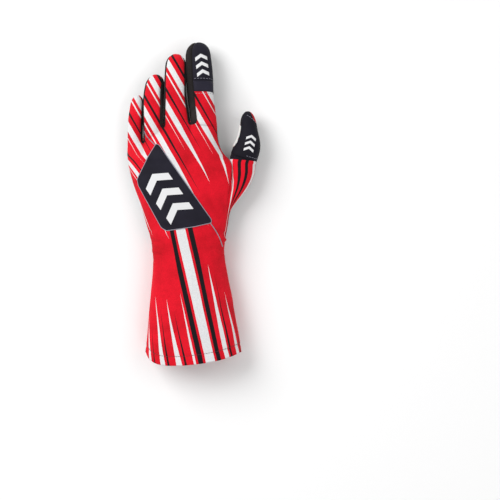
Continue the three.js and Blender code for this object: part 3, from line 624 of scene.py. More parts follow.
def hand_point(panel, s, y):
    """Across between the seams, and up or down by a rounded lobe that parts into a hand's and a thumb's."""
    outer, seam, edge = outline_at(y)
    low, high, crown, under = profile_at(y)
    share = share_across(panel, s)
    hand = s <= 4
    x = np.where(hand, mix(outer, seam, share), mix(seam, edge, share))
    beyond = y >= WEB_LEVEL
    reach = np.where(beyond, seam, edge)
    across = np.clip((x - outer) / (reach - outer), 0, 1)
    middle = mix(low, high, across)
    fullness = BACK_FULLNESS if panel == "back" else PALM_FULLNESS
    rise = crown - middle if panel == "back" else middle - under
    whole = lobe(across, fullness)
    parted = np.where(hand, lobe(share, fullness), lobe(share, 2) * THUMB_RISE)
    level = np.where(hand, WEB_LEVEL, parting(panel, s)[..., 1])
    below = np.clip((level - y) / (WEB_REACH * JOIN_REACH), 0, 1)
    joined = (1 - (1 - below) ** JOIN_POWER) ** (1 / JOIN_POWER)
    bulge = np.where(beyond & hand, parted, mix(parted, whole, joined))
    z = middle + rise * bulge if panel == "back" else middle - rise * bulge
    return np.stack([x, y + 0 * x, np.maximum(z, ground_at(y))], -1)


def blended_point(panel, s, y, level, reach):
    """The hand's point, turning into the parting row moved back along the glove."""
    end = parting(panel, s)
    end[..., 1] = y
    near = smooth(0, 1, 1 - (level - y) / reach)[..., None]
    return mix(hand_point(panel, s, y), end, near)


PANELS = [
    "back_panel", "palm_panel", "cuff_underside", "thumb_back", "thumb_cap", "index_cap", "index_band",
    "sidewall_little_ring", "sidewall_ring_middle", "sidewall_middle_index",
]
# The same panels as numbers, down to the first of the sidewalls
BACK, PALM, CUFF, THUMB_BACK, THUMB_TIP, INDEX_TIP, INDEX_STRAP, FIRST_SIDE = range(8)

# The grid: columns across each finger's back and each sidewall, and rows along each part
FINE = 18
SIDE_COLUMNS = 12
FOLD_ROWS, CUFF_ROWS, HAND_ROWS, KNUCKLE_ROWS = 8, 88, 58, 26
CROTCH_ROWS, FINGER_ROWS = 8, 46
WEB_ROWS, THUMB_ROWS = 9, 24
DOME_ROWS = 12
# Where the cloth's own coordinates start: across on the sidewalls, and along on fingers and thumb
SIDES_FROM = 20
FINGERS_FROM = 10
# Shares of the length that a seam's row keeps clear on the index finger and on the thumb
INDEX_CLEAR, THUMB_CLEAR = 0.008, 0.006


def curved_rows(length, foot, foot_rows, count, seams=(), clear=0.0):
    """Shares of the length: a quarter circle's rows round the foot and round the dome, even ones between.
    Rows close to a seam give way to the seam's own."""
    low = foot * (1 - np.cos(np.linspace(0, np.pi / 2, foot_rows)))
    top = length - TIP_DOME + TIP_DOME * np.sin(np.linspace(0, np.pi / 2, DOME_ROWS))
    rows = np.concatenate([low, np.linspace(foot, length - TIP_DOME, count)[1:-1], top]) / length
    for seam in seams:
        rows = rows[abs(rows - seam) > clear]
    return np.sort(np.concatenate([rows, seams]))


def skin_grids():
    """Every block of the skin: its points, its own coordinates, and each face's panel and hem mark."""
    blocks = []

    def add(points, across, along, labels, hem=None):
        """Keeps one block; without a hem mark none of it is hem."""
        if hem is None:
            hem = np.zeros(labels.shape, bool)
        blocks.append((points, np.stack([across, along], -1), labels, hem))

    for panel in ("back", "palm"):
        s = np.linspace(0, 5, 5 * FINE + 1)
        s = s if panel == "back" else s[::-1]
        hem_line = hem_at(mouth_places(panel, s))
        web = np.where(s <= 4, WEB_LEVEL, parting(panel, s)[..., 1])
        fold = hem_line + np.linspace(0, 1, FOLD_ROWS)[:, None] * HEM_FOLD
        cuff = mix(hem_line + HEM_FOLD, CUFF_LENGTH, np.linspace(0, 1, CUFF_ROWS)[1:, None])
        y = np.concatenate([fold, cuff, mix(CUFF_LENGTH, web, np.linspace(0, 1, HAND_ROWS)[1:, None])])
        across = np.broadcast_to(s, y.shape)
        points = hand_point(panel, across, y)
        joins = blended_point(panel, across, y, web, WEB_REACH * THUMB_BLEND)
        use = (across > 4) & (y > CUFF_LENGTH)
        points = np.where(use[..., None], joins, points)
        rows = np.arange(y.shape[0] - 1)[:, None]
        middle = (s[1:] + s[:-1])[None] / 2
        above = rows >= FOLD_ROWS + CUFF_ROWS - 2
        if panel == "palm":
            labels = np.where(above, PALM, CUFF) + np.zeros_like(middle, int)
        else:
            labels = np.where(above & (middle > 4), THUMB_BACK, BACK)
        add(points, across, y, labels, (rows < FOLD_ROWS - 1) & (middle > -1))

        s = np.linspace(0, 4, 4 * FINE + 1)
        s = s if panel == "back" else s[::-1]
        top = parting(panel, s)[..., 1]
        y = mix(WEB_LEVEL, top, np.linspace(0, 1, KNUCKLE_ROWS)[:, None])
        across = np.broadcast_to(s, y.shape)
        reach = np.minimum(top - WEB_LEVEL, PALM_LENGTH * HAND_BLEND)
        points = blended_point(panel, across, y, top, reach)
        add(points, across, y, np.full((KNUCKLE_ROWS - 1, 4 * FINE), BACK if panel == "back" else PALM))

    share = np.linspace(0, 1, FINE + 1)[None]
    wall = np.linspace(0, 1, SIDE_COLUMNS + 1)[None]
    whole = np.zeros((1, FINE), int)
    for i, tube in enumerate(TUBES):
        capped = tube.name == "index"
        cap = 1 - INDEX_CAP / tube.length
        band = cap - INDEX_BAND / tube.length
        seams = [cap, band] if capped else []
        rows = curved_rows(tube.length, CROTCH_ROUND, CROTCH_ROWS, FINGER_ROWS, seams, INDEX_CLEAR)
        rows = rows[:, None]
        middle = (rows[1:] + rows[:-1]) / 2
        upper = np.full(middle.shape, BACK)
        if capped:
            upper = np.where(middle > cap, INDEX_TIP, np.where(middle > band, INDEX_STRAP, BACK))
        for panel in ("back", "palm"):
            labels = upper if panel == "back" else np.full(middle.shape, PALM)
            own = np.broadcast_arrays(i + share, FINGERS_FROM + rows)
            add(finger_point(i, panel, share, rows), *own, labels + whole)
        for side, pair in (("left", i - 1), ("right", i)):
            if not tube.sides[side == "right"]:
                continue
            labels = np.full((len(rows) - 1, SIDE_COLUMNS), FIRST_SIDE + pair)
            own = np.broadcast_arrays(SIDES_FROM + i + wall, FINGERS_FROM + rows)
            add(finger_point(i, side, wall, rows), *own, labels)

    cap = 1 - THUMB_CAP / THUMB_LENGTH
    rows = curved_rows(THUMB_LENGTH, WEB_ROUND, WEB_ROWS, THUMB_ROWS, [cap], THUMB_CLEAR)[:, None]
    middle = (rows[1:] + rows[:-1]) / 2
    upper = np.where(middle > cap, THUMB_TIP, THUMB_BACK)
    for panel in ("back", "palm"):
        labels = upper if panel == "back" else np.full(middle.shape, PALM)
        own = np.broadcast_arrays(4 + share, FINGERS_FROM + rows)
        add(thumb_point(panel, share, rows), *own, labels + whole)
    return blocks


# Folds: the share by which they run past their ends, and the power by which they fade there
FOLD_SPARE = 0.05
FOLD_FADE = 0.7


def ridges(table, points):
    """Each row adds height times a bell across its line, fading to its two ends by a sine."""
    total = np.zeros(len(points))
    for x0, y0, x1, y1, width, height in table:
        line = np.array([x1 - x0, y1 - y0], float)
        length = np.linalg.norm(line)
        line = line / length
        gone = points[:, :2] - (x0, y0)
        along = gone @ line
        across = gone @ np.array([-line[1], line[0]])
        share = along / length * (1 - 2 * FOLD_SPARE) + FOLD_SPARE
        fade = np.sin(np.pi * np.clip(share, 0, 1)) ** FOLD_FADE
        inside = (along > -FOLD_SPARE * length) & (along < (1 + FOLD_SPARE) * length)
        total += np.where(inside, height * np.exp(-((across / width) ** 2)) * fade, 0)
    return total


# Moves of the cloth, in millimetres: height of its slow swells; depth and half width of the hem's groove;
# half width of a sunk seam; share of the seam's depth, distance and half width of the swelling beside it
SLACK = 0.11
HEM_GROOVE, HEM_GROOVE_HALF = 0.45, 0.9
SEAM_HALF = 0.9
PUFF_SHARE, PUFF_FROM_SEAM, PUFF_HALF = 0.3, 2.4, 1.3
# Elastic gathers: distance of their middle below the wrist line, reach along the glove, and the share of
# the width over which they fade at each side
GATHERS_BELOW = 16
GATHERS_REACH = 15
GATHERS_FADE = 0.12
# Lowest cloth under the hand and under the cuff, and lowest grip or thread
HAND_CLEARANCE, CLEARANCE = 0.35, 0.05


def slack(points):
    """Slow swells of the cloth: sines of a few fixed directions and wavelengths."""
    x, y, z = points.T
    swell = np.sin(x / 7.1 + y / 11.3) + np.sin(x / 12.7 - y / 8.9 + 1.3)
    return SLACK * (swell + 0.7 * np.sin(y / 5.7 + z / 4.1 + x / 19))


SKIN = {}
WELD = 0.004  # points closer than about this are one
BATCH = 1500  # points looked up at a time


def skin():
    """The merged skin: points in millimetres, plain and settled, normals, faces, panels, hem and own
    coordinates."""
    if SKIN:
        return SKIN
    points, own, faces, labels, hems = [], [], [], [], []
    count = 0
    for block, coordinates, label, hem in skin_grids():
        rows, columns = block.shape[:2]
        ids = count + np.arange(rows * columns).reshape(rows, columns)
        count += rows * columns
        points.append(block.reshape(-1, 3))
        own.append(coordinates.reshape(-1, 2))
        quads = np.stack([ids[:-1, :-1], ids[:-1, 1:], ids[1:, 1:], ids[1:, :-1]], -1)
        faces.append(quads.reshape(-1, 4))
        labels.append(np.broadcast_to(label, quads.shape[:2]).reshape(-1))
        hems.append(np.broadcast_to(hem, quads.shape[:2]).reshape(-1))
    points, own, faces = np.concatenate(points), np.concatenate(own), np.concatenate(faces)
    labels, hems = np.concatenate(labels), np.concatenate(hems)
    cells = np.round(points / WELD).astype(np.int64)
    _, first, inverse = np.unique(cells, axis=0, return_index=True, return_inverse=True)
    corner_own = own[faces]
    points, faces = points[first] + ORIGIN, inverse.reshape(-1)[faces]
    spread = points[faces[:, 2]] - points[faces[:, 0]], points[faces[:, 3]] - points[faces[:, 1]]
    face_normals = np.cross(*spread)
    normals = np.zeros_like(points)
    for corner in range(4):
        np.add.at(normals, faces[:, corner], face_normals)
    normals /= np.maximum(np.linalg.norm(normals, axis=1, keepdims=True), 1e-9)
    low = np.full(len(points), 99)
    high = np.full(len(points), -1)
    for corner in range(4):
        np.minimum.at(low, faces[:, corner], labels)
        np.maximum.at(high, faces[:, corner], labels)
    seam_points = points[low != high]
    distance = np.empty(len(points))
    for part in batches(len(points)):
        gaps = points[part, None, :] - seam_points[None]
        distance[part] = np.sqrt((gaps**2).sum(-1).min(1))
    SKIN.update(points=points, normals=normals, faces=faces, labels=labels, hems=hems, own=corner_own)
    SKIN["settled"] = points + normals * lift(points, normals, distance)[:, None]
    return SKIN


def batches(count):
    """Slices that share out a count, so that a table of distances stays small."""
    return [slice(start, start + BATCH) for start in range(0, count, BATCH)]


def gathers(points, normals):
    """Folds of the elastic under the wrist: a squared cosine across, in a bell along the glove."""
    x, y = points[:, 0], points[:, 1] - ORIGIN[1]
    outer, _, edge = outline_at(y)
    across = (x - ORIGIN[0] - outer) / (edge - outer)
    wave = np.cos(np.pi * sizes().gathers * across + 0.5 * np.sin(9 * across)) ** 2
    bell = np.exp(-(((y - CUFF_LENGTH + GATHERS_BELOW) / GATHERS_REACH) ** 2))
    sharp = (np.abs(wave) ** 0.8 - 0.5) * bell
    sharp = sharp * smooth(0, GATHERS_FADE, across) * smooth(0, GATHERS_FADE, 1 - across)
    return sizes().gather / MM * sharp * np.clip(-normals[:, 2], 0, 1)


def lift(points, normals, distance):
    """How far the cloth stands off the plain surface: folds, swells and gathers, less bells along the hem
    and the seams, plus a lower bell beside each seam."""
    up = smooth(-0.2, 0.5, normals[:, 2])
    down = smooth(-0.2, 0.5, -normals[:, 2])
    folds = ridges(BACK_FOLDS, points) * up + ridges(PALM_FOLDS, points) * down
    total = sizes().fold * (folds + slack(points)) + gathers(points, normals)
    level = points[:, 1] - ORIGIN[1] - hem_at(points[:, 0] - ORIGIN[0])
    total -= HEM_GROOVE * np.exp(-(((level - HEM_FOLD) / HEM_GROOVE_HALF) ** 2))
    depth = sizes().seam / MM
    total -= depth * np.exp(-((distance / SEAM_HALF) ** 2))
    total += PUFF_SHARE * depth * np.exp(-(((distance - PUFF_FROM_SEAM) / PUFF_HALF) ** 2))
    low = np.where(points[:, 1] > CUFF_LENGTH + ORIGIN[1], HAND_CLEARANCE, CLEARANCE)
    room = (points[:, 2] - low) / np.maximum(-normals[:, 2], 0.05)
    return np.where(normals[:, 2] < 0, np.minimum(total, room), total)


def put_mesh(name, points, faces, uv=None):
    """A smooth object at the origin with these points in millimetres, loose ones and doubled corners left
    out."""
    faces = np.asarray(faces)
    used, inverse = np.unique(faces, return_inverse=True)
    faces = inverse.reshape(faces.shape)
    mesh = bpy.data.meshes.new(name)
    doubled = np.stack([faces[:, k] == faces[:, k - 1] for k in range(faces.shape[1])], 1)
    keep = doubled.sum(1) <= faces.shape[1] - 3
    whole = keep & (doubled.sum(1) == 0)
    rows = faces[whole].tolist()
    corners = [uv[whole].reshape(-1, 2)] if uv is not None else []
    for k in np.flatnonzero(keep & ~whole):
        rows.append(faces[k][~doubled[k]].tolist())
        if uv is not None:
            corners.append(uv[k][~doubled[k]])
    mesh.from_pydata((points[used] * MM).tolist(), [], rows)
    if uv is not None:
        layer = mesh.uv_layers.new(name="cloth")
        layer.data.foreach_set("uv", np.concatenate(corners).astype(np.float32).ravel())
    mesh.polygons.foreach_set("use_smooth", np.full(len(mesh.polygons), True))
    mesh.update()
    piece = bpy.data.objects.new(name, mesh)
    bpy.context.scene.collection.objects.link(piece)
    return piece


def thicken(piece, thickness, lining=None):
    """Gives a sheet its thickness inwards, with the lining on its inner face."""
    wall = piece.modifiers.new("Thickness", "SOLIDIFY")
    wall.thickness = thickness
    wall.offset = -1
    if lining is not None:
        piece.data.materials.append(lining)
        wall.material_offset = 1


def finish(piece, nodes, material):
    """Dresses a piece, lets it ride on the glove and stand for its solids, if it has any."""
    piece.data.materials.append(material)
    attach(piece, "root")
    if nodes:
        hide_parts(*nodes)


def panel_piece(name, label, material, nodes=()):
    """One sewn panel cut from the skin, thickened, dressed and lined."""
    s = skin()
    own = s["labels"] == PANELS.index(label)
    piece = put_mesh(name, s["settled"], s["faces"][own], s["own"][own])
    finish(piece, [label, *nodes], material)
    thicken(piece, sizes().cloth, lining_material())


# Materials


class Graph:
    """A material's nodes, added one by one."""

    def __init__(self, name):
        self.material = bpy.data.materials.new(name)
        self.material.use_nodes = True
        self.tree = self.material.node_tree
        self.shader = self.tree.nodes["Principled BSDF"]

    def node(self, kind, values=(), **settings):
        """Adds a node with these settings, and puts values on its inputs."""
        node = self.tree.nodes.new(kind)
        for key, value in settings.items():
            setattr(node, key, value)
        for key, value in dict(values).items():
            self.put(node.inputs[key], value)
        return node

    def put(self, socket, value):
        """Links a socket to another, or sets its value."""
        if isinstance(value, bpy.types.NodeSocket):
            self.tree.links.new(value, socket)
        else:
            socket.default_value = value

    def math(self, operation, *values, clamp=False):
        """The result of a Math node."""
        node = self.node("ShaderNodeMath", operation=operation, use_clamp=clamp)
        for socket, value in zip(node.inputs, values):
            self.put(socket, value)
        return node.outputs[0]

    def span(self, value, low, high, start=0.0, end=1.0):
        """A value's way from low to high, carried over to start and end."""
        values = {"Value": value, "From Min": low, "From Max": high, "To Min": start, "To Max": end}
        return self.node("ShaderNodeMapRange", values, clamp=True).outputs["Result"]

    def blend(self, factor, a, b, blend_type="MIX"):
        """Colour a turned into colour b by a factor, or multiplied by it."""
        node = self.node("ShaderNodeMix", data_type="RGBA", blend_type=blend_type)
        for socket, value in zip((node.inputs[0], node.inputs[6], node.inputs[7]), (factor, a, b)):
            self.put(socket, rgba(value))
        return node.outputs[2]

    def patches(self, noise, low, high, most, a, b):
        """Colour a, turning towards b by the most given as the noise rises from low to high."""
        return self.blend(self.span(noise, low, high, 0.0, most), a, b)

    def grey(self, value):
        """A value as a grey colour."""
        return self.node("ShaderNodeCombineColor", {"Red": value, "Green": value, "Blue": value}).outputs[0]

    def noise(self, vector, scale, detail=3.0, roughness=0.5, distortion=0.0):
        """A noise between nothing and one, with its scale in cells to the metre."""
        values = {"Vector": vector, "Scale": scale, "Detail": detail}
        values |= {"Roughness": roughness, "Distortion": distortion}
        return self.node("ShaderNodeTexNoise", values).outputs["Fac"]

    def place(self):
        """Object coordinates in metres."""
        return self.node("ShaderNodeTexCoord").outputs["Object"]

    def own(self):
        """The cloth's own coordinates, across and along its panel."""
        return self.node("ShaderNodeUVMap", uv_map="cloth").outputs[0]

    def parts(self, vector):
        """The x, y and z of a vector."""
        return self.node("ShaderNodeSeparateXYZ", {"Vector": vector}).outputs

    def bump(self, height, distance, strength, normal=None):
        """A normal bent by a height, whose full step is the distance in metres."""
        values = {"Height": height, "Distance": distance, "Strength": strength}
        if normal is not None:
            values["Normal"] = normal
        return self.node("ShaderNodeBump", values).outputs["Normal"]

    def dress(self, **values):
        """Puts values on the shader's own sockets, named with underscores for spaces."""
        for key, value in values.items():
            self.put(self.shader.inputs[key.replace("_", " ")], value)


def rgba(value):
    """A colour with its alpha; a socket or a plain number stays as it is."""
    if isinstance(value, (bpy.types.NodeSocket, float)):
        return value
    return (*tuple(value)[:3], 1.0)


def toned(colour, share):
    """A colour darker or paler by a share."""
    return tuple(v * share for v in tuple(colour)[:3])


# The knit's rows and its loops, in radians to the metre
KNIT_ROWS = 6200.0
KNIT_LOOPS = 7600.0


def knit(graph, place):
    """Height of a fine knit: rows of loops, each row's loops shifted by half, over a fuzz."""
    x, y, z = graph.parts(place)
    rows = graph.math("SINE", graph.math("MULTIPLY", graph.math("ADD", y, z), KNIT_ROWS))
    loops = graph.math("SINE", graph.math("MULTIPLY", graph.math("SUBTRACT", x, z), KNIT_LOOPS))
    fuzz = graph.noise(place, 1600.0, detail=2.0)
    return graph.math("MULTIPLY_ADD", graph.math("MULTIPLY", rows, loops), 0.35, fuzz)


def worn(graph, place):
    """The knit's bump over shallow creases about a centimetre wide."""
    folds = graph.noise(place, 105.0, roughness=0.45, distortion=0.4)
    creases = graph.bump(folds, distance=0.0012, strength=0.5)
    return graph.bump(knit(graph, place), distance=0.00012, strength=0.5, normal=creases)


# Families of printed stripes, in millimetres across and along their own lean: lean in degrees, first cell
# and pitch across, end along, what each second and third stripe adds to it, length of the points, and 1
# for points at the lower end or -1 for points at the upper end
FAMILIES = {
    "hand": (60.0, -66.0, 20.5, 2.0, 24.0, -9.0, 62.0, 1.0),
    "cuff": (77.0, -101.0, 16.0, 58.0, 22.0, 8.0, 62.0, -1.0),
}
# Stripes of each family: colour, place in the pitch, half width, how far its end is held back
MOTIFS = {
    "hand": [("black", 15.0, 1.0, 30.0), ("white", 8.0, 2.5, 0.0), ("white", 2.2, 0.6, 38.0)],
    "cuff": [("black", 13.0, 1.2, 12.0), ("white", 7.0, 2.6, 0.0)],
}
# The straight stripe down the cuff: its lean, its place across, where it starts along, and half the width
# of the cloth that it keeps for itself, then its bands: colour, shift across, half width
RACING_LEAN = 77.0
RACING_PLACE = -17.0
RACING_START = 16.0
RACING_KEPT = 13.5
RACING = [("black", -9.0, 2.3), ("white", 0.0, 4.4), ("black", 9.0, 2.3)]
# Print over the sides: its middle across, where beside that it starts to turn down and where it is fully
# down, the share of the fall that it takes, and where it stops doing so up the glove
PRINT_MIDDLE = -4
PRINT_BESIDE = (10, 30)
PRINT_FALL = 0.9
PRINT_UP = (20, 45)
# How far the print's edges wander
WANDER = 0.18
# Bands round the thumb: where each starts across the panel, and its colour; then the line past which the
# cloth is dark, by its height in millimetres and its slope
THUMB_BANDS = [
    (0.0, "red"), (0.05, "white"), (0.24, "red"), (0.4, "black"), (0.48, "red"), (0.56, "black"),
    (0.64, "red"), (0.8, "white"), (0.92, "red"),
]
THUMB_DARK = 44.4
THUMB_DARK_SLOPE = 0.088
# Rows of chevrons: centre in millimetres and turn in degrees, then their pitch, reach and spread
THUMB_CHEVRONS = ((52.6, 56.0), -12, (5.4, 8.2, 4.6))
INDEX_CHEVRONS = ((7.9, 128.6), 7, (7.4, 11.2, 5.6))
BADGE_CHEVRONS = (16.6, 24.9, 12.8)
BADGE_CHEVRONS_SHIFT = (-1.4, 0.0)
# Red corner of the thumb's tip: shares across and along the panel where it starts, and its lean
TIP_CORNER = (0.7, 0.8)
TIP_LEAN = 0.33


def leaning(graph, x, y, lean):
    """Coordinates across and along a lean: the plan turned by that angle."""
    sine, cosine = math.sin(math.radians(lean)), math.cos(math.radians(lean))
    across = graph.math("MULTIPLY_ADD", x, sine, graph.math("MULTIPLY", y, cosine))
    along = graph.math("MULTIPLY_ADD", x, cosine, graph.math("MULTIPLY", y, -sine))
    return across, along


def within(graph, value, centre, half):
    """One where a value lies less than a half width from a centre."""
    gone = graph.math("ABSOLUTE", graph.math("SUBTRACT", value, centre))
    return graph.math("LESS_THAN", gone, half)


def family(graph, x, y, name):
    """Masks of one family: in each cell of the pitch, the distance from a stripe's middle is under a half
    width that shrinks evenly to nothing over the length of its point."""
    lean, first, pitch, end, second, third, point, way = FAMILIES[name]
    across, along = leaning(graph, x, y, lean)
    cell = graph.math("DIVIDE", graph.math("SUBTRACT", across, first * MM), pitch * MM)
    number = graph.math("FLOOR", cell)
    inside = graph.math("MULTIPLY", graph.math("SUBTRACT", cell, number), pitch * MM)
    stop = graph.math("MULTIPLY_ADD", graph.math("MODULO", number, 2.0), second * MM, end * MM)
    stop = graph.math("MULTIPLY_ADD", graph.math("MODULO", number, 3.0), third * MM, stop)
    room = graph.math("MULTIPLY", graph.math("SUBTRACT", stop, along), way)
    masks = []
    for tone, place, half, back in MOTIFS[name]:
        share = graph.math("DIVIDE", graph.math("SUBTRACT", room, back * MM), point * MM, clamp=True)
        masks.append((tone, within(graph, inside, place * MM, graph.math("MULTIPLY", share, half * MM))))
    return masks


def racing(graph, x, y):
    """Masks of the straight stripe's bands, and the strip of cloth that they keep for themselves."""
    across, along = leaning(graph, x, y, RACING_LEAN)
    moved = graph.math("SUBTRACT", across, RACING_PLACE * MM)
    started = graph.math("GREATER_THAN", along, RACING_START * MM)
    masks = []
    for tone, shift, half in RACING:
        band = within(graph, moved, shift * MM, half * MM)
        masks.append((tone, graph.math("MULTIPLY", started, band)))
    kept = within(graph, moved, 0.0, RACING_KEPT * MM)
    return masks, graph.math("MULTIPLY", kept, started)


def unrolled(graph, x, y, z, top):
    """The plan's x, carried outwards over the sides by most of the drop from the top, or of the rise from
    the underside, and fading out towards the fingers."""
    shifted = graph.math("SUBTRACT", x, PRINT_MIDDLE * MM)
    near, far = (v * MM for v in PRINT_BESIDE)
    low, high = (v * MM for v in PRINT_UP)
    beside = graph.span(graph.math("ABSOLUTE", shifted), near, far, 0.0, PRINT_FALL)
    beside = graph.math("MULTIPLY", beside, graph.span(y, low, high, 1.0, 0.0))
    fall = graph.math("MULTIPLY", graph.math("ABSOLUTE", graph.math("SUBTRACT", z, top * MM)), beside)
    return graph.math("MULTIPLY_ADD", fall, graph.math("SIGN", shifted), x)


def dress_knit(graph, colour, place):
    """The knit's finish: matt, with a faint sheen, creased and worn."""
    graph.dress(Base_Color=colour, Roughness=0.8, Sheen_Weight=0.03, Sheen_Roughness=0.5)
    graph.dress(Specular_IOR_Level=0.12, Normal=worn(graph, place))
    return graph.material


def red_cloth(name="Printed red knit", top=37.0):
    """Red knit, turned deeper red in slow random patches that are partly wear and partly painted shade of
    folds, with printed streaks and bands. Top is the height in millimetres from which the print falls over
    the sides."""
    c = colours()
    graph = Graph(name)
    place = graph.place()
    x, y, z = graph.parts(place)
    # Painted shade: slow noise patches turn the red towards the deep red, partly for wear and partly for
    # the shade of folds
    wear_and_painted_shade = graph.noise(place, 38.0, detail=4.0, roughness=0.6)
    colour = graph.patches(wear_and_painted_shade, 0.42, 0.72, 1.0, c.red, c.deep_red)
    wander = graph.span(graph.noise(place, 160.0, detail=2.0), 0.0, 1.0, -WANDER * MM, WANDER * MM)
    across = graph.math("ADD", unrolled(graph, x, y, z, top), wander)
    bands, kept = racing(graph, across, y)
    spare = graph.math("SUBTRACT", 1.0, kept)
    masks = [(tone, graph.math("MULTIPLY", mask, spare)) for tone, mask in family(graph, across, y, "cuff")]
    masks += family(graph, across, y, "hand") + bands
    for tone, mask in masks:
        colour = graph.blend(mask, colour, getattr(c, tone))
    shade = graph.span(graph.noise(place, 900.0, detail=2.0), 0.3, 0.7, 0.9, 1.06)
    colour = graph.blend(1.0, colour, graph.grey(shade), "MULTIPLY")
    return dress_knit(graph, colour, place)


def thumb_cloth():
    """Red knit with bands that follow the panel from its inner seam to its outer one, dark by the cap."""
    c = colours()
    graph = Graph("Banded thumb knit")
    place = graph.place()
    x, y, _ = graph.parts(place)
    across, _, _ = graph.parts(graph.own())
    wander = graph.span(graph.noise(place, 120.0, detail=2.0), 0.0, 1.0, -0.012, 0.012)
    share = graph.math("ADD", graph.math("SUBTRACT", across, 4.0), wander)
    ramp = graph.node("ShaderNodeValToRGB", {"Fac": share})
    ramp.color_ramp.interpolation = "CONSTANT"
    for k, (at, tone) in enumerate(THUMB_BANDS):
        stop = ramp.color_ramp.elements[k] if k < 2 else ramp.color_ramp.elements.new(at)
        stop.position = at
        stop.color = rgba(getattr(c, tone))
    height = graph.math("MULTIPLY_ADD", x, THUMB_DARK_SLOPE, y)
    beyond = graph.math("GREATER_THAN", height, THUMB_DARK * MM)
    return dress_knit(graph, graph.blend(beyond, ramp.outputs["Color"], toned(c.navy, 0.7)), place)


def suede_material(name="Black suede"):
    """Short nap: speckle at the nap's scale, slow brushed patches that are paler and smoother."""
    suede = colours().suede
    graph = Graph(name)
    place = graph.place()
    nap = graph.noise(place, 1300.0, roughness=0.7)
    brushed = graph.noise(place, 46.0, detail=4.0, roughness=0.6, distortion=0.6)
    colour = graph.patches(nap, 0.35, 0.75, 0.55, suede, toned(suede, 2.6))
    colour = graph.patches(brushed, 0.5, 0.75, 0.5, colour, toned(suede, 3.4))
    graph.dress(Base_Color=colour, Roughness=graph.span(brushed, 0.3, 0.7, 0.95, 0.82), Sheen_Weight=0.05)
    nap_bump = graph.bump(nap, distance=0.00018, strength=0.6)
    graph.dress(Sheen_Roughness=0.45, Specular_IOR_Level=0.1, Normal=nap_bump)
    return graph.material


def chevrons(graph, along, across, pitch, reach, spread):
    """A row of plain chevrons within a reach: bars of the place along plus a share of the way across."""
    bent = graph.math("MULTIPLY_ADD", graph.math("ABSOLUTE", across), 0.6, along)
    wave = graph.math("FRACT", graph.math("DIVIDE", graph.math("ADD", bent, 40 * pitch), pitch))
    bars = graph.math("LESS_THAN", wave, 0.45)
    inside = graph.math("LESS_THAN", graph.math("ABSOLUTE", bent), reach)
    narrow = graph.math("LESS_THAN", graph.math("ABSOLUTE", across), spread)
    return graph.math("MULTIPLY", bars, graph.math("MULTIPLY", inside, narrow))


def navy_cloth(name, centre=(0, 0), turn=0, row=None, tone=1.0, corner=None):
    """Dark cloth. A row of chevrons, given by pitch, reach and spread, is printed at a centre in
    millimetres, turned by degrees. A corner of the thumb's panel is red."""
    c = colours()
    base = toned(c.navy, tone)
    graph = Graph(name)
    place = graph.place()
    colour = graph.patches(graph.noise(place, 60.0, detail=4.0), 0.4, 0.7, 0.6, base, toned(base, 1.7))
    if row:
        moved = graph.node("ShaderNodeMapping", {"Vector": place}, vector_type="TEXTURE")
        moved.inputs["Location"].default_value = (centre[0] * MM, centre[1] * MM, 0)
        moved.inputs["Rotation"].default_value = (0, 0, math.radians(turn))
        across, along, _ = graph.parts(moved.outputs[0])
        mask = chevrons(graph, along, across, *(v * MM for v in row))
        colour = graph.blend(mask, colour, c.white)
    if corner:
        across, along, _ = graph.parts(graph.own())
        start = 4 + corner[0]
        beside = graph.math("GREATER_THAN", across, start)
        leaned = graph.math("MULTIPLY_ADD", across, TIP_LEAN, along)
        beyond = graph.math("GREATER_THAN", leaned, FINGERS_FROM + corner[1] + TIP_LEAN * start)
        colour = graph.blend(graph.math("MULTIPLY", beside, beyond), colour, c.deep_red)
    graph.dress(Base_Color=colour, Roughness=0.7, Sheen_Weight=0.03, Specular_IOR_Level=0.12)
    graph.dress(Normal=graph.bump(knit(graph, place), distance=0.0001, strength=0.4))
    return graph.material


def silicone_material():
    """Off-white silicone print: a satin skin with fine pits, a little grime in slow patches."""
    grip = colours().grip
    graph = Graph("White silicone")
    place = graph.place()
    grime = graph.noise(place, 90.0, detail=5.0, roughness=0.65)
    colour = graph.patches(grime, 0.5, 0.8, 0.35, grip, toned(grip, 0.72))
    pits = graph.bump(graph.noise(place, 1100.0, detail=2.0), distance=0.00006, strength=0.4)
    graph.dress(Base_Color=colour, Roughness=graph.span(grime, 0.3, 0.7, 0.36, 0.5), Subsurface_Weight=0.08)
    graph.dress(Subsurface_Scale=0.001, Normal=pits)
    return graph.material


def plain_material(name, colour, roughness, scale=900.0, depth=0.0001):
    """One colour broken by a fine noise in tone and in height."""
    graph = Graph(name)
    grain = graph.noise(graph.place(), scale)
    graph.dress(Base_Color=graph.patches(grain, 0.3, 0.7, 1.0, colour, toned(colour, 0.7)))
    graph.dress(Roughness=roughness, Sheen_Weight=0.1, Normal=graph.bump(grain, depth, strength=0.5))
    return graph.material


def lining_material():
    """The inner face of the cloth, made once."""
    return bpy.data.materials.get("Lining") or plain_material("Lining", colours().lining, 0.85, 700.0)


# Raised sheets on the skin


# Looking up the skin: neighbours used, margin round the points, a distance squared that keeps the weights
# even, and the flattest slope that counts as a side
NEIGHBOURS = 6
MARGIN = 5
CLOSENESS = 0.05
STEEPEST = 0.25
# Outlines: distance between points, and radius of the corners
OUTLINE_SPACING = 0.9
CORNER_RADIUS = 1.2
# Raised sheets: depth of the foot, share by which the middle is higher, and distance between rings
SHEET_FOOT = 0.35
CROWN = 0.12
RING_SPACING = 1.1
BADGE_BEVEL, GRIP_BEVEL, BAR_BEVEL = 0.6, 0.35, 0.3
# Edging: radius round the badge and along the piped seams, and the share of it that stands proud
BADGE_PIPING, SEAM_PIPING = 0.55, 0.45
PIPING_PROUD = 0.6


def on_palm(across, up):
    """Plan points of the palm from shares across it and up it."""
    y = CUFF_LENGTH + np.asarray(up) * PALM_LENGTH
    outer, seam, _ = outline_at(y)
    return np.stack([mix(outer, seam, np.asarray(across)), y], -1)


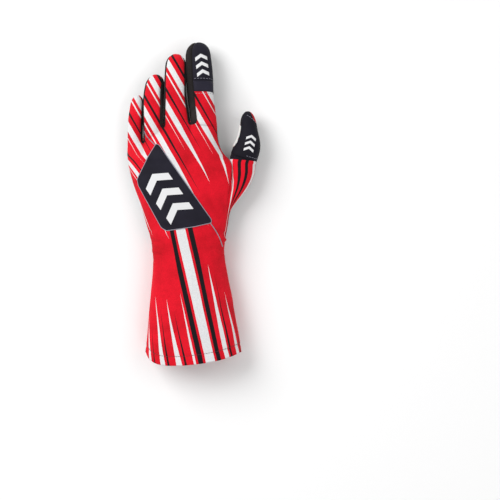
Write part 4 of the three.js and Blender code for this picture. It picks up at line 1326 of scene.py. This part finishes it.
def nearest(points, panel):
    """Height and normal of a panel at plan points: the mean of the nearest ones, weighted by closeness."""
    s = skin()
    own = np.unique(s["faces"][s["labels"] == PANELS.index(panel)])
    low, high = points.min(0), points.max(0)
    middle, reach = (low + high)[:2] / 2, (high - low)[:2] / 2 + MARGIN
    own = own[np.all(np.abs(s["settled"][own][:, :2] - middle) < reach, axis=1)]
    base, normals = s["settled"][own], s["normals"][own]
    found, turned = np.empty((len(points), 1)), np.empty((len(points), 3))
    for batch in batches(len(points)):
        part = points[batch]
        gaps = ((part[:, None, :2] - base[None, :, :2]) ** 2).sum(-1)
        ids = np.argpartition(gaps, NEIGHBOURS, axis=1)[:, :NEIGHBOURS]
        weight = 1 / (np.take_along_axis(gaps, ids, 1) + CLOSENESS)
        weight /= weight.sum(1, keepdims=True)
        offset = part[:, None, :2] - base[ids][..., :2]
        n = normals[ids]
        slope = n[..., 2]
        steep = np.where(np.abs(slope) < STEEPEST, np.sign(slope + 1e-9) * STEEPEST, slope)
        z = base[ids][..., 2] - (n[..., :2] * offset).sum(-1) / steep
        found[batch, 0] = (z * weight).sum(1)
        turned[batch] = (n * weight[..., None]).sum(1)
    turned /= np.linalg.norm(turned, axis=1, keepdims=True)
    return np.concatenate([points[:, :2], found], 1), turned


def run_along(path):
    """The length run along a path at each of its points."""
    return np.concatenate([[0], np.cumsum(np.linalg.norm(np.diff(path, axis=0), axis=1))])


def sampled(path, run, at):
    """Points at lengths run along a path, on the straight lines between its points."""
    return np.stack([np.interp(at, run, path[:, k]) for k in range(path.shape[1])], 1)


def cut(outline, point, degrees, gap):
    """A polygon parted by a groove: the two sides of a line, each half the groove's width away."""
    normal = np.array([-math.sin(math.radians(degrees)), math.cos(math.radians(degrees))])
    parts = []
    for side in (1, -1):
        kept = []
        for a, b in zip(outline, np.roll(outline, -1, axis=0)):
            da, db = ((a - point) @ normal) * side - gap / 2, ((b - point) @ normal) * side - gap / 2
            if da >= 0:
                kept.append(a)
            if (da >= 0) != (db >= 0):
                kept.append(a + (b - a) * da / (da - db))
        if len(kept) > 2:
            parts.append(np.array(kept))
    return parts


def rounded(outline):
    """A polygon with its corners cut back by a radius and bent, then sampled evenly."""
    points = []
    for before, corner, after in zip(np.roll(outline, 1, axis=0), outline, np.roll(outline, -1, axis=0)):
        back, on = before - corner, after - corner
        back_length, on_length = np.linalg.norm(back), np.linalg.norm(on)
        r = min(CORNER_RADIUS, back_length * 0.4, on_length * 0.4)
        a, b = corner + back / back_length * r, corner + on / on_length * r
        t = np.linspace(0, 1, 5)[:, None]
        points.append((1 - t) ** 2 * a + 2 * t * (1 - t) * corner + t**2 * b)
    loop = np.concatenate(points)
    closed = np.concatenate([loop, loop[:1]])
    run = run_along(closed)
    at = np.linspace(0, run[-1], max(int(run[-1] / OUTLINE_SPACING), 16), endpoint=False)
    return sampled(closed, run, at)


def raised_sheet(outline, height, settle, bevel=GRIP_BEVEL):
    """A raised patch: rings from the outline to its middle, rising over a rounded edge to its height."""
    loop = rounded(np.asarray(outline, float))
    area = np.sum(loop[:, 0] * np.roll(loop[:, 1], -1) - loop[:, 1] * np.roll(loop[:, 0], -1))
    if area < 0:
        loop = loop[::-1]
    centre = loop.mean(0)
    edge = np.roll(loop, -1, axis=0) - np.roll(loop, 1, axis=0)
    edge /= np.linalg.norm(edge, axis=1, keepdims=True)
    inward = np.stack([-edge[:, 1], edge[:, 0]], 1)
    steps = max(int(np.linalg.norm(loop - centre, axis=1).mean() / RING_SPACING), 3)
    rise = [(0, -SHEET_FOOT), (0, height * 0.62), (bevel * 0.3, height * 0.9), (bevel, height)]
    plan = [loop + inward * inset for inset, _ in rise]
    plan += [mix(plan[3], centre, k / (steps + 0.35)) for k in range(1, steps + 1)]
    levels = [level for _, level in rise] + [height * (1 + CROWN * k / steps) for k in range(1, steps + 1)]
    rows, n = len(plan), len(loop)
    lifts = np.append(np.repeat(levels, n), height * (1 + CROWN))
    base, normals = settle(np.concatenate([*plan, centre[None]]))
    ids = np.arange(rows * n).reshape(rows, n)
    beside = np.roll(ids, -1, axis=1)
    quads = np.stack([ids[:-1], beside[:-1], beside[1:], ids[1:]], -1).reshape(-1, 4)
    pole = np.full(n, rows * n)
    last = np.stack([ids[-1], beside[-1], pole, pole], -1)
    return base + normals * lifts[:, None], np.concatenate([quads, last])


def gather_sheets(sheets):
    """Several sheets as one set of points and faces, turned over to face out of the glove."""
    points, faces, count = [], [], 0
    for p, f in sheets:
        points.append(p)
        faces.append(f[:, ::-1] + count)
        count += len(p)
    return np.concatenate(points), np.concatenate(faces)


def settle_palm(plan):
    """Plan points laid on the palm."""
    return nearest(plan, "palm_panel")


def settle_back(plan):
    """Plan points laid on the back."""
    return nearest(plan, "back_panel")


def settle_thumb(plan):
    """Millimetres round and along the thumb, turned into an angle from its pad and a share along."""
    across, along = plan.T
    return on_skin(THUMB.point(180 - across / THUMB_HALF * THUMB_ROUND, along / THUMB_LENGTH) + ORIGIN)


def put_grip(name, nodes, sheets):
    """Raised patches as one piece of silicone, kept above the ground, that stands for its solids."""
    points, faces = gather_sheets(sheets)
    points[:, 2] = np.maximum(points[:, 2], CLEARANCE)
    silicone = bpy.data.materials.get("White silicone") or silicone_material()
    finish(put_mesh(name, points, faces), nodes, silicone)


def piping(plan, radius, closed):
    """A thin round edging: rings of eight points round a path on the back, half sunk in the cloth."""
    base, normals = settle_back(plan)
    line = np.roll(base, -1, axis=0) - np.roll(base, 1, axis=0) if closed else np.gradient(base, axis=0)
    line /= np.linalg.norm(line, axis=1, keepdims=True)
    side = np.cross(line, normals)
    angle = np.arange(8)[:, None] * np.pi / 4
    ring = side[:, None] * np.cos(angle) + normals[:, None] * np.sin(angle)
    points = (base + normals * radius * PIPING_PROUD)[:, None] + radius * ring
    ids = np.arange(len(plan) * 8).reshape(-1, 8)
    ids = np.concatenate([ids, ids[:1]]) if closed else ids
    up = np.roll(ids, -1, axis=1)
    return points.reshape(-1, 3), np.stack([ids[:-1], ids[1:], up[1:], up[:-1]], -1).reshape(-1, 4)


def on_tube(tube, across, along):
    """Plan points under a finger: its axis, plus shares of its half width across."""
    middle = tube.point(180.0, np.asarray(along, float))
    return np.stack([middle[..., 0] + np.asarray(across) * tube.half, middle[..., 1]], -1)


# Threads

# A stitch: places along it and its girth there, the share to which it is flattened, and the share of its
# radius by which it stands proud
STITCH_ALONG = np.array([0.0, 0.14, 0.5, 0.86, 1.0])
STITCH_GIRTH = np.array([0.35, 0.9, 1.0, 0.9, 0.35])
THREAD_FLAT = 0.75
THREAD_PROUD = 0.35
# Kinds of seam: length of a stitch as a share of the usual one, and gap to the next in millimetres
HEM_SEAM = (1.0, 0.25)
ZIGZAG_SEAM = (0.75, 0.35)
CAP_SEAM = (0.8, 0.8)
TIP_SEAM = (0.8, 0.3)
PALM_SEAM = (1.0, 0.8)
# Elastic below the wrist line: its middle, the levels of its two zigzags, their height and their points
ELASTIC_LEVEL = -14
ZIGZAG_LEVELS = (-8.0, -19.0)
ZIGZAG_HEIGHT = 2.8
ZIGZAG_POINTS = 281


def threads(start, end, normal, radius):
    """Short stitches: each a six-sided rod from start to end, thin at both ends, half sunk in the cloth."""
    line = end - start
    length = np.linalg.norm(line, axis=1, keepdims=True)
    line = line / length
    side = np.cross(line, normal)
    side /= np.maximum(np.linalg.norm(side, axis=1, keepdims=True), 1e-9)
    up = np.cross(side, line)
    angle = np.arange(6)[:, None] * np.pi / 3
    start, line, length, side, up = (part[:, None, None] for part in (start, line, length, side, up))
    ring = side * np.cos(angle) + THREAD_FLAT * up * np.sin(angle)
    along, girth = STITCH_ALONG[:, None, None], STITCH_GIRTH[:, None, None]
    points = start + line * (along * length) + ring * radius * girth + up * radius * THREAD_PROUD
    count = len(points)
    ids = np.arange(count * 30).reshape(count, 5, 6)
    beside = np.roll(ids, -1, axis=2)
    sides = np.stack([ids[:, :-1], ids[:, 1:], beside[:, 1:], beside[:, :-1]], -1).reshape(-1, 4)
    caps = []
    for k, order in ((0, (0, 1, 2, 3)), (0, (0, 3, 4, 5)), (4, (3, 2, 1, 0)), (4, (5, 4, 3, 0))):
        caps.append(ids[:, k][:, list(order)])
    return points.reshape(-1, 3), np.concatenate([sides] + caps)


def stitched(path, length, gap):
    """Starts and ends of stitches spread evenly along a path of points."""
    run = run_along(path)
    count = max(int(run[-1] / (length + gap)), 1)
    at = (np.arange(count) + 0.5) * run[-1] / count
    return sampled(path, run, at - length / 2), sampled(path, run, at + length / 2)


def on_skin(path):
    """Moves a path to the folded skin next to it: the nearest skin point's lift and normal."""
    s = skin()
    shifts, normals = np.empty_like(path), np.empty_like(path)
    for batch in batches(len(path)):
        ids = ((path[batch][:, None] - s["points"][None]) ** 2).sum(-1).argmin(1)
        shifts[batch] = s["settled"][ids] - s["points"][ids]
        normals[batch] = s["normals"][ids]
    return path + shifts, normals


def stitch_row(path, seam):
    """Starts, ends and normals of one row of stitches, settled on the folded cloth."""
    share, gap = seam
    start, end = stitched(path + ORIGIN, sizes().stitch / MM * share, gap)
    low, n0 = on_skin(start)
    high, n1 = on_skin(end)
    normal = n0 + n1
    return low, high, normal / np.linalg.norm(normal, axis=1, keepdims=True)


def sew(name, rows, thread, colour, thickness=1.0):
    """Lays rows of stitches as one piece in their thread, kept above the ground."""
    start, end, normal = (np.concatenate(parts) for parts in zip(*rows))
    points, faces = threads(start, end, normal, sizes().thread / MM * thickness)
    points[:, 2] = np.maximum(points[:, 2], CLEARANCE)
    finish(put_mesh(name, points, faces), [], plain_material(thread, colour, 0.6, 2600.0, 0.00005))


# Operators

# Stage: width of the floor, light of the room, and each lamp's place, power and size
FLOOR_SIZE = 6
ROOM_LIGHT = 0.46
LAMPS = {
    "key": ((-0.95, 0.65, 1.1), 20.5, 1.1),
    "fill": ((0.9, 0.1, 1.1), 4.0, 1.1),
    "rim": ((0.2, -1.1, 0.8), 2.5, 0.8),
}
# Camera: its place, and the width that it sees at the height given
EYE = (0.0525, -0.0432, 1.9)
VIEW_WIDTH = 0.465
VIEW_HEIGHT = 0.022
SENSOR = 36


def aim(place):
    """The turn that points a lamp's beam from its place at the middle of the glove."""
    x, y, z = place
    return (math.atan2(math.hypot(x, y), z), 0.0, math.atan2(y, x) + math.pi / 2)


class GLOVE_OT_stage(Operator):
    """Sets the pale floor, the soft lights and the camera that looks straight down."""

    bl_idname = "glove.stage"
    bl_label = "Stage"

    def execute(self, context):
        scene = context.scene
        scene.view_settings.view_transform = "Standard"
        bpy.ops.mesh.primitive_plane_add(size=FLOOR_SIZE)
        floor = context.object
        floor.name = "floor"
        graph = Graph("Pale floor")
        tone = graph.span(graph.noise(graph.place(), 3.0, detail=2.0), 0.0, 1.0, 0.93, 0.95)
        graph.dress(Base_Color=graph.grey(tone), Roughness=0.9, Specular_IOR_Level=0.1)
        floor.data.materials.append(graph.material)
        scene.world = scene.world or bpy.data.worlds.new("World")
        scene.world.use_nodes = True
        sky = scene.world.node_tree.nodes["Background"].inputs
        sky["Color"].default_value = (1, 1, 1, 1)
        sky["Strength"].default_value = ROOM_LIGHT
        for name, (place, power, size) in LAMPS.items():
            light = bpy.data.lights.new(name, "AREA")
            light.energy, light.size = power, size
            lamp = bpy.data.objects.new(name, light)
            scene.collection.objects.link(lamp)
            lamp.location = place
            lamp.rotation_euler = aim(place)
        eye = bpy.data.cameras.new("camera")
        eye.sensor_width = SENSOR
        eye.lens = SENSOR * (EYE[2] - VIEW_HEIGHT) / VIEW_WIDTH
        camera = bpy.data.objects.new("camera", eye)
        scene.collection.objects.link(camera)
        camera.location = EYE
        scene.camera = camera
        return {"FINISHED"}


class GLOVE_OT_back_panel(Operator):
    """Builds the red back panel, with the backs of the fingers and the top of the cuff."""

    bl_idname = "glove.back_panel"
    bl_label = "Back panel"

    def execute(self, context):
        others = ["cuff_top"] + [tube.name + "_back" for tube in TUBES]
        panel_piece("back_cloth", "back_panel", red_cloth(), others)
        return {"FINISHED"}


class GLOVE_OT_thumb(Operator):
    """Builds the banded back of the thumb and the dark cap at its tip."""

    bl_idname = "glove.thumb"
    bl_label = "Thumb"

    def execute(self, context):
        panel_piece("thumb_cloth", "thumb_back", thumb_cloth())
        cloth = navy_cloth("Thumb cap cloth", *THUMB_CHEVRONS, tone=0.7, corner=TIP_CORNER)
        panel_piece("thumb_tip_cloth", "thumb_cap", cloth)
        return {"FINISHED"}


class GLOVE_OT_index_cap(Operator):
    """Builds the dark cap on the back of the index finger and the band sewn below it."""

    bl_idname = "glove.index_cap"
    bl_label = "Index cap"

    def execute(self, context):
        cloth = navy_cloth("Index cap cloth", *INDEX_CHEVRONS)
        panel_piece("index_tip_cloth", "index_cap", cloth)
        panel_piece("index_band_cloth", "index_band", navy_cloth("Band cloth", tone=1.7))
        return {"FINISHED"}


class GLOVE_OT_palm(Operator):
    """Builds the black suede palm with the undersides of the fingers and the thumb."""

    bl_idname = "glove.palm"
    bl_label = "Palm"

    def execute(self, context):
        panel_piece("palm_suede", "palm_panel", suede_material())
        return {"FINISHED"}


class GLOVE_OT_sidewalls(Operator):
    """Builds the three forked sidewalls between the fingers."""

    bl_idname = "glove.sidewalls"
    bl_label = "Sidewalls"

    def execute(self, context):
        suede = suede_material("Sidewall suede")
        for label in PANELS[FIRST_SIDE:]:
            panel_piece(label.replace("sidewall", "fork"), label, suede)
        return {"FINISHED"}


class GLOVE_OT_cuff_underside(Operator):
    """Builds the underside of the cuff with its elastic gathers."""

    bl_idname = "glove.cuff_underside"
    bl_label = "Cuff underside"

    def execute(self, context):
        panel_piece("cuff_cloth", "cuff_underside", red_cloth("Cuff knit", top=0.0))
        return {"FINISHED"}


class GLOVE_OT_hem(Operator):
    """Builds the turned-in hem inside the cuff's mouth."""

    bl_idname = "glove.hem"
    bl_label = "Hem"

    def execute(self, context):
        s = skin()
        own = s["hems"]
        inner = s["settled"] - s["normals"] * (sizes().cloth / MM + HEM_GAP)
        piece = put_mesh("hem_fold", inner, s["faces"][own], s["own"][own])
        finish(piece, ["hem_facing"], plain_material("Hem cloth", colours().red, 0.75))
        thicken(piece, HEM_THICKNESS * MM)
        return {"FINISHED"}


class GLOVE_OT_badge(Operator):
    """Builds the raised badge on the back, its chevrons and its thin grey edging."""

    bl_idname = "glove.badge"
    bl_label = "Badge"

    def execute(self, context):
        centre = on_palm(*BADGE_PLACE) + ORIGIN[:2]
        lean = math.radians(BADGE_TURN)
        turn = np.array([[math.cos(lean), math.sin(lean)], [-math.sin(lean), math.cos(lean)]])
        outline = (np.array(BADGE) * (BADGE_WIDTH, BADGE_LENGTH)) @ turn + centre
        badge = put_mesh("badge_film", *raised_sheet(outline, sizes().badge / MM, settle_back, BADGE_BEVEL))
        middle = centre + np.array(BADGE_CHEVRONS_SHIFT) @ turn
        finish(badge, ["badge"], navy_cloth("Badge film", middle, BADGE_TURN, BADGE_CHEVRONS))
        sheets = [piping(rounded(outline), BADGE_PIPING, closed=True)]
        for seam in PIPED_SEAMS:
            rows = [(k, *place) for k, place in enumerate(seam)]
            at = np.linspace(0, len(seam) - 1, 60)
            path = np.stack([column(rows, 1, at), column(rows, 2, at)], 1)
            sheets.append(piping(path, SEAM_PIPING, closed=False))
        edging = put_mesh("badge_edging", *gather_sheets(sheets))
        finish(edging, [], plain_material("Grey edging", colours().grey, 0.6))
        return {"FINISHED"}


class GLOVE_OT_palm_grips(Operator):
    """Builds the raised silicone patches of the palm, each parted by grooves."""

    bl_idname = "glove.palm_grips"
    bl_label = "Palm grips"

    def execute(self, context):
        for name, (corners, grooves) in PALM_GRIPS.items():
            parts = [on_palm(*np.array(corners).T) + ORIGIN[:2]]
            for across, up, degrees in grooves:
                point = on_palm(across, up) + ORIGIN[:2]
                parts = [half for part in parts for half in cut(part, point, degrees, sizes().groove / MM)]
            sheets = [raised_sheet(part, sizes().grip / MM, settle_palm) for part in parts]
            put_grip(name.replace("grip", "patch"), [name], sheets)
        return {"FINISHED"}


class GLOVE_OT_finger_grips(Operator):
    """Builds the pads under the fingertips and the thumb, and the short bars below them."""

    bl_idname = "glove.finger_grips"
    bl_label = "Finger grips"

    def execute(self, context):
        height = sizes().grip / MM
        for tube in (*TUBES, THUMB):
            outline, point, settle = self.thumb_pad() if tube is THUMB else self.finger_pad(tube)
            halves = cut(outline, point, PAD_GROOVE_LEAN, PAD_GROOVE_WIDTH)
            sheets = [raised_sheet(half, height, settle) for half in halves]
            put_grip(tube.name + "_tip_pad", [tube.name + "_pad"], sheets)
            bars = self.bars(tube)
            sheets = [raised_sheet(bar, height, settle_palm, BAR_BEVEL) for bar in bars]
            put_grip(tube.name + "_bars", [f"{tube.name}_bar_{k + 1}" for k in range(len(bars))], sheets)
        return {"FINISHED"}

    def finger_pad(self, tube):
        """A finger's pad in plan, a point on its groove, and the panel that it lies on."""
        outline = on_tube(tube, *np.array(FINGER_PAD).T) + ORIGIN[:2]
        return outline, on_tube(tube, *PAD_GROOVE) + ORIGIN[:2], settle_palm

    def thumb_pad(self):
        """The thumb's pad unrolled, a point on its groove, and the way round the thumb."""
        outline = np.array(THUMB_PAD) * (THUMB_HALF * THUMB_PAD_WIDTH, THUMB_LENGTH)
        return outline, np.array(THUMB_PAD_GROOVE), settle_thumb

    def bars(self, tube):
        """Outlines in plan of a finger's bars, each a slanted strip one pitch above the last."""
        first, count, reach, slant = THUMB_BARS if tube is THUMB else FINGER_BARS
        x, y = on_tube(tube, 0.0, max(first, 0.0))
        y = y + min(first, 0.0) * tube.length
        wide = reach * (THUMB_HALF if tube is THUMB else tube.half)
        left, right = x - wide, x + wide
        rows = [(y + k * BAR_PITCH - slant, y + k * BAR_PITCH + slant) for k in range(count)]
        bars = [[(left, a), (right, b), (right, b + BAR_WIDTH), (left, a + BAR_WIDTH)] for a, b in rows]
        return np.array(bars) + ORIGIN[:2]


class GLOVE_OT_stitching(Operator):
    """Sews the hem, the wrist's elastic, the index band, the thumb cap and the palm with thread."""

    bl_idname = "glove.stitching"
    bl_label = "Stitching"

    def execute(self, context):
        self.hem()
        self.elastic()
        self.caps()
        self.palm()
        return {"FINISHED"}

    def hem(self):
        """One row along the hem's groove, over and under."""
        s = np.linspace(0, 5, 160)
        levels = [(panel, hem_at(mouth_places(panel, s)) + HEM_FOLD) for panel in ("back", "palm")]
        rows = [stitch_row(hand_point(panel, s, level), HEM_SEAM) for panel, level in levels]
        sew("hem_stitches", rows, "Dark thread", (0.09, 0.004, 0.008))

    def elastic(self):
        """Two zigzags under the wrist: a triangle wave of twenty points, even in millimetres across."""
        s = np.linspace(0.05, 4.95, 300)
        x = hand_point("palm", s, CUFF_LENGTH + ELASTIC_LEVEL + 0 * s)[:, 0]
        s = np.interp(np.linspace(x[0], x[-1], ZIGZAG_POINTS), x, s)
        zigzag = ZIGZAG_HEIGHT * (2 * np.abs(np.arange(ZIGZAG_POINTS) / 20 % 2 - 1) - 1)
        paths = [hand_point("palm", s, CUFF_LENGTH + level + zigzag) for level in ZIGZAG_LEVELS]
        rows = [stitch_row(path, ZIGZAG_SEAM) for path in paths]
        sew("elastic_stitches", rows, "Elastic thread", (0.07, 0.01, 0.014))

    def caps(self):
        """Rows beside both ends of the index band, along the thumb cap's foot and across its tip."""
        cap = 1 - INDEX_CAP / TUBES[3].length
        band = cap - INDEX_BAND / TUBES[3].length
        share = np.linspace(0.04, 0.96, 60)
        paths = [finger_point(3, "back", share, row) for row in (cap + 0.022, band - 0.022)]
        paths.append(thumb_point("back", mix(0.5, 1.0, share), 1 - (THUMB_CAP - 2.0) / THUMB_LENGTH))
        rows = [stitch_row(path, CAP_SEAM) for path in paths]
        tip = thumb_point("back", mix(0.36, 0.97, share), mix(0.9, 0.7, share))
        rows.append(stitch_row(tip, TIP_SEAM))
        sew("cap_stitches", rows, "Grey thread", colours().grey, 0.9)

    def palm(self):
        """A row at the wrist, and one on each side of a finger that meets another finger."""
        s = np.linspace(0.1, 4.9, 120)
        row = np.linspace(0.1, 0.86, 90)
        paths = [hand_point("palm", s, CUFF_LENGTH + 2.2 + 0 * s)]
        for i, tube in enumerate(TUBES):
            for share, meets in ((0.07, tube.sides[1]), (0.93, tube.sides[0])):
                if meets:
                    paths.append(finger_point(i, "palm", share, row))
        rows = [stitch_row(path, PALM_SEAM) for path in paths]
        sew("palm_stitches", rows, "Black thread", (0.03, 0.03, 0.032), 0.9)


class GLOVE_PT_sidebar(Panel):
    """Lists the glove's pieces, sizes and colours."""

    bl_idname = "GLOVE_PT_sidebar"
    bl_label = "Karting glove"
    bl_space_type = "VIEW_3D"
    bl_region_type = "UI"
    bl_category = "Glove"

    def draw(self, context):
        for operator in OPERATORS:
            self.layout.operator(operator.bl_idname)
        for group in (context.scene.glove_sizes, context.scene.glove_colours):
            box = self.layout.box()
            for key in group.bl_rna.properties.keys():
                if key not in ("rna_type", "name"):
                    box.prop(group, key)


OPERATORS = [
    GLOVE_OT_stage,
    GLOVE_OT_back_panel,
    GLOVE_OT_thumb,
    GLOVE_OT_index_cap,
    GLOVE_OT_palm,
    GLOVE_OT_sidewalls,
    GLOVE_OT_cuff_underside,
    GLOVE_OT_hem,
    GLOVE_OT_badge,
    GLOVE_OT_palm_grips,
    GLOVE_OT_finger_grips,
    GLOVE_OT_stitching,
]
CLASSES = [GloveSizes, GloveColours, *OPERATORS, GLOVE_PT_sidebar]


def register():
    """Adds the classes and the scene's two groups of properties."""
    for each in CLASSES:
        bpy.utils.register_class(each)
    bpy.types.Scene.glove_sizes = PointerProperty(type=GloveSizes)
    bpy.types.Scene.glove_colours = PointerProperty(type=GloveColours)


def unregister():
    """Takes out again what register adds."""
    del bpy.types.Scene.glove_sizes
    del bpy.types.Scene.glove_colours
    for each in reversed(CLASSES):
        bpy.utils.unregister_class(each)


def main():
    """Builds the glove by its operators, in order."""
    register()
    for operator in OPERATORS:
        group, name = operator.bl_idname.split(".")
        getattr(getattr(bpy.ops, group), name)()


if __name__ == "__main__":
    main()
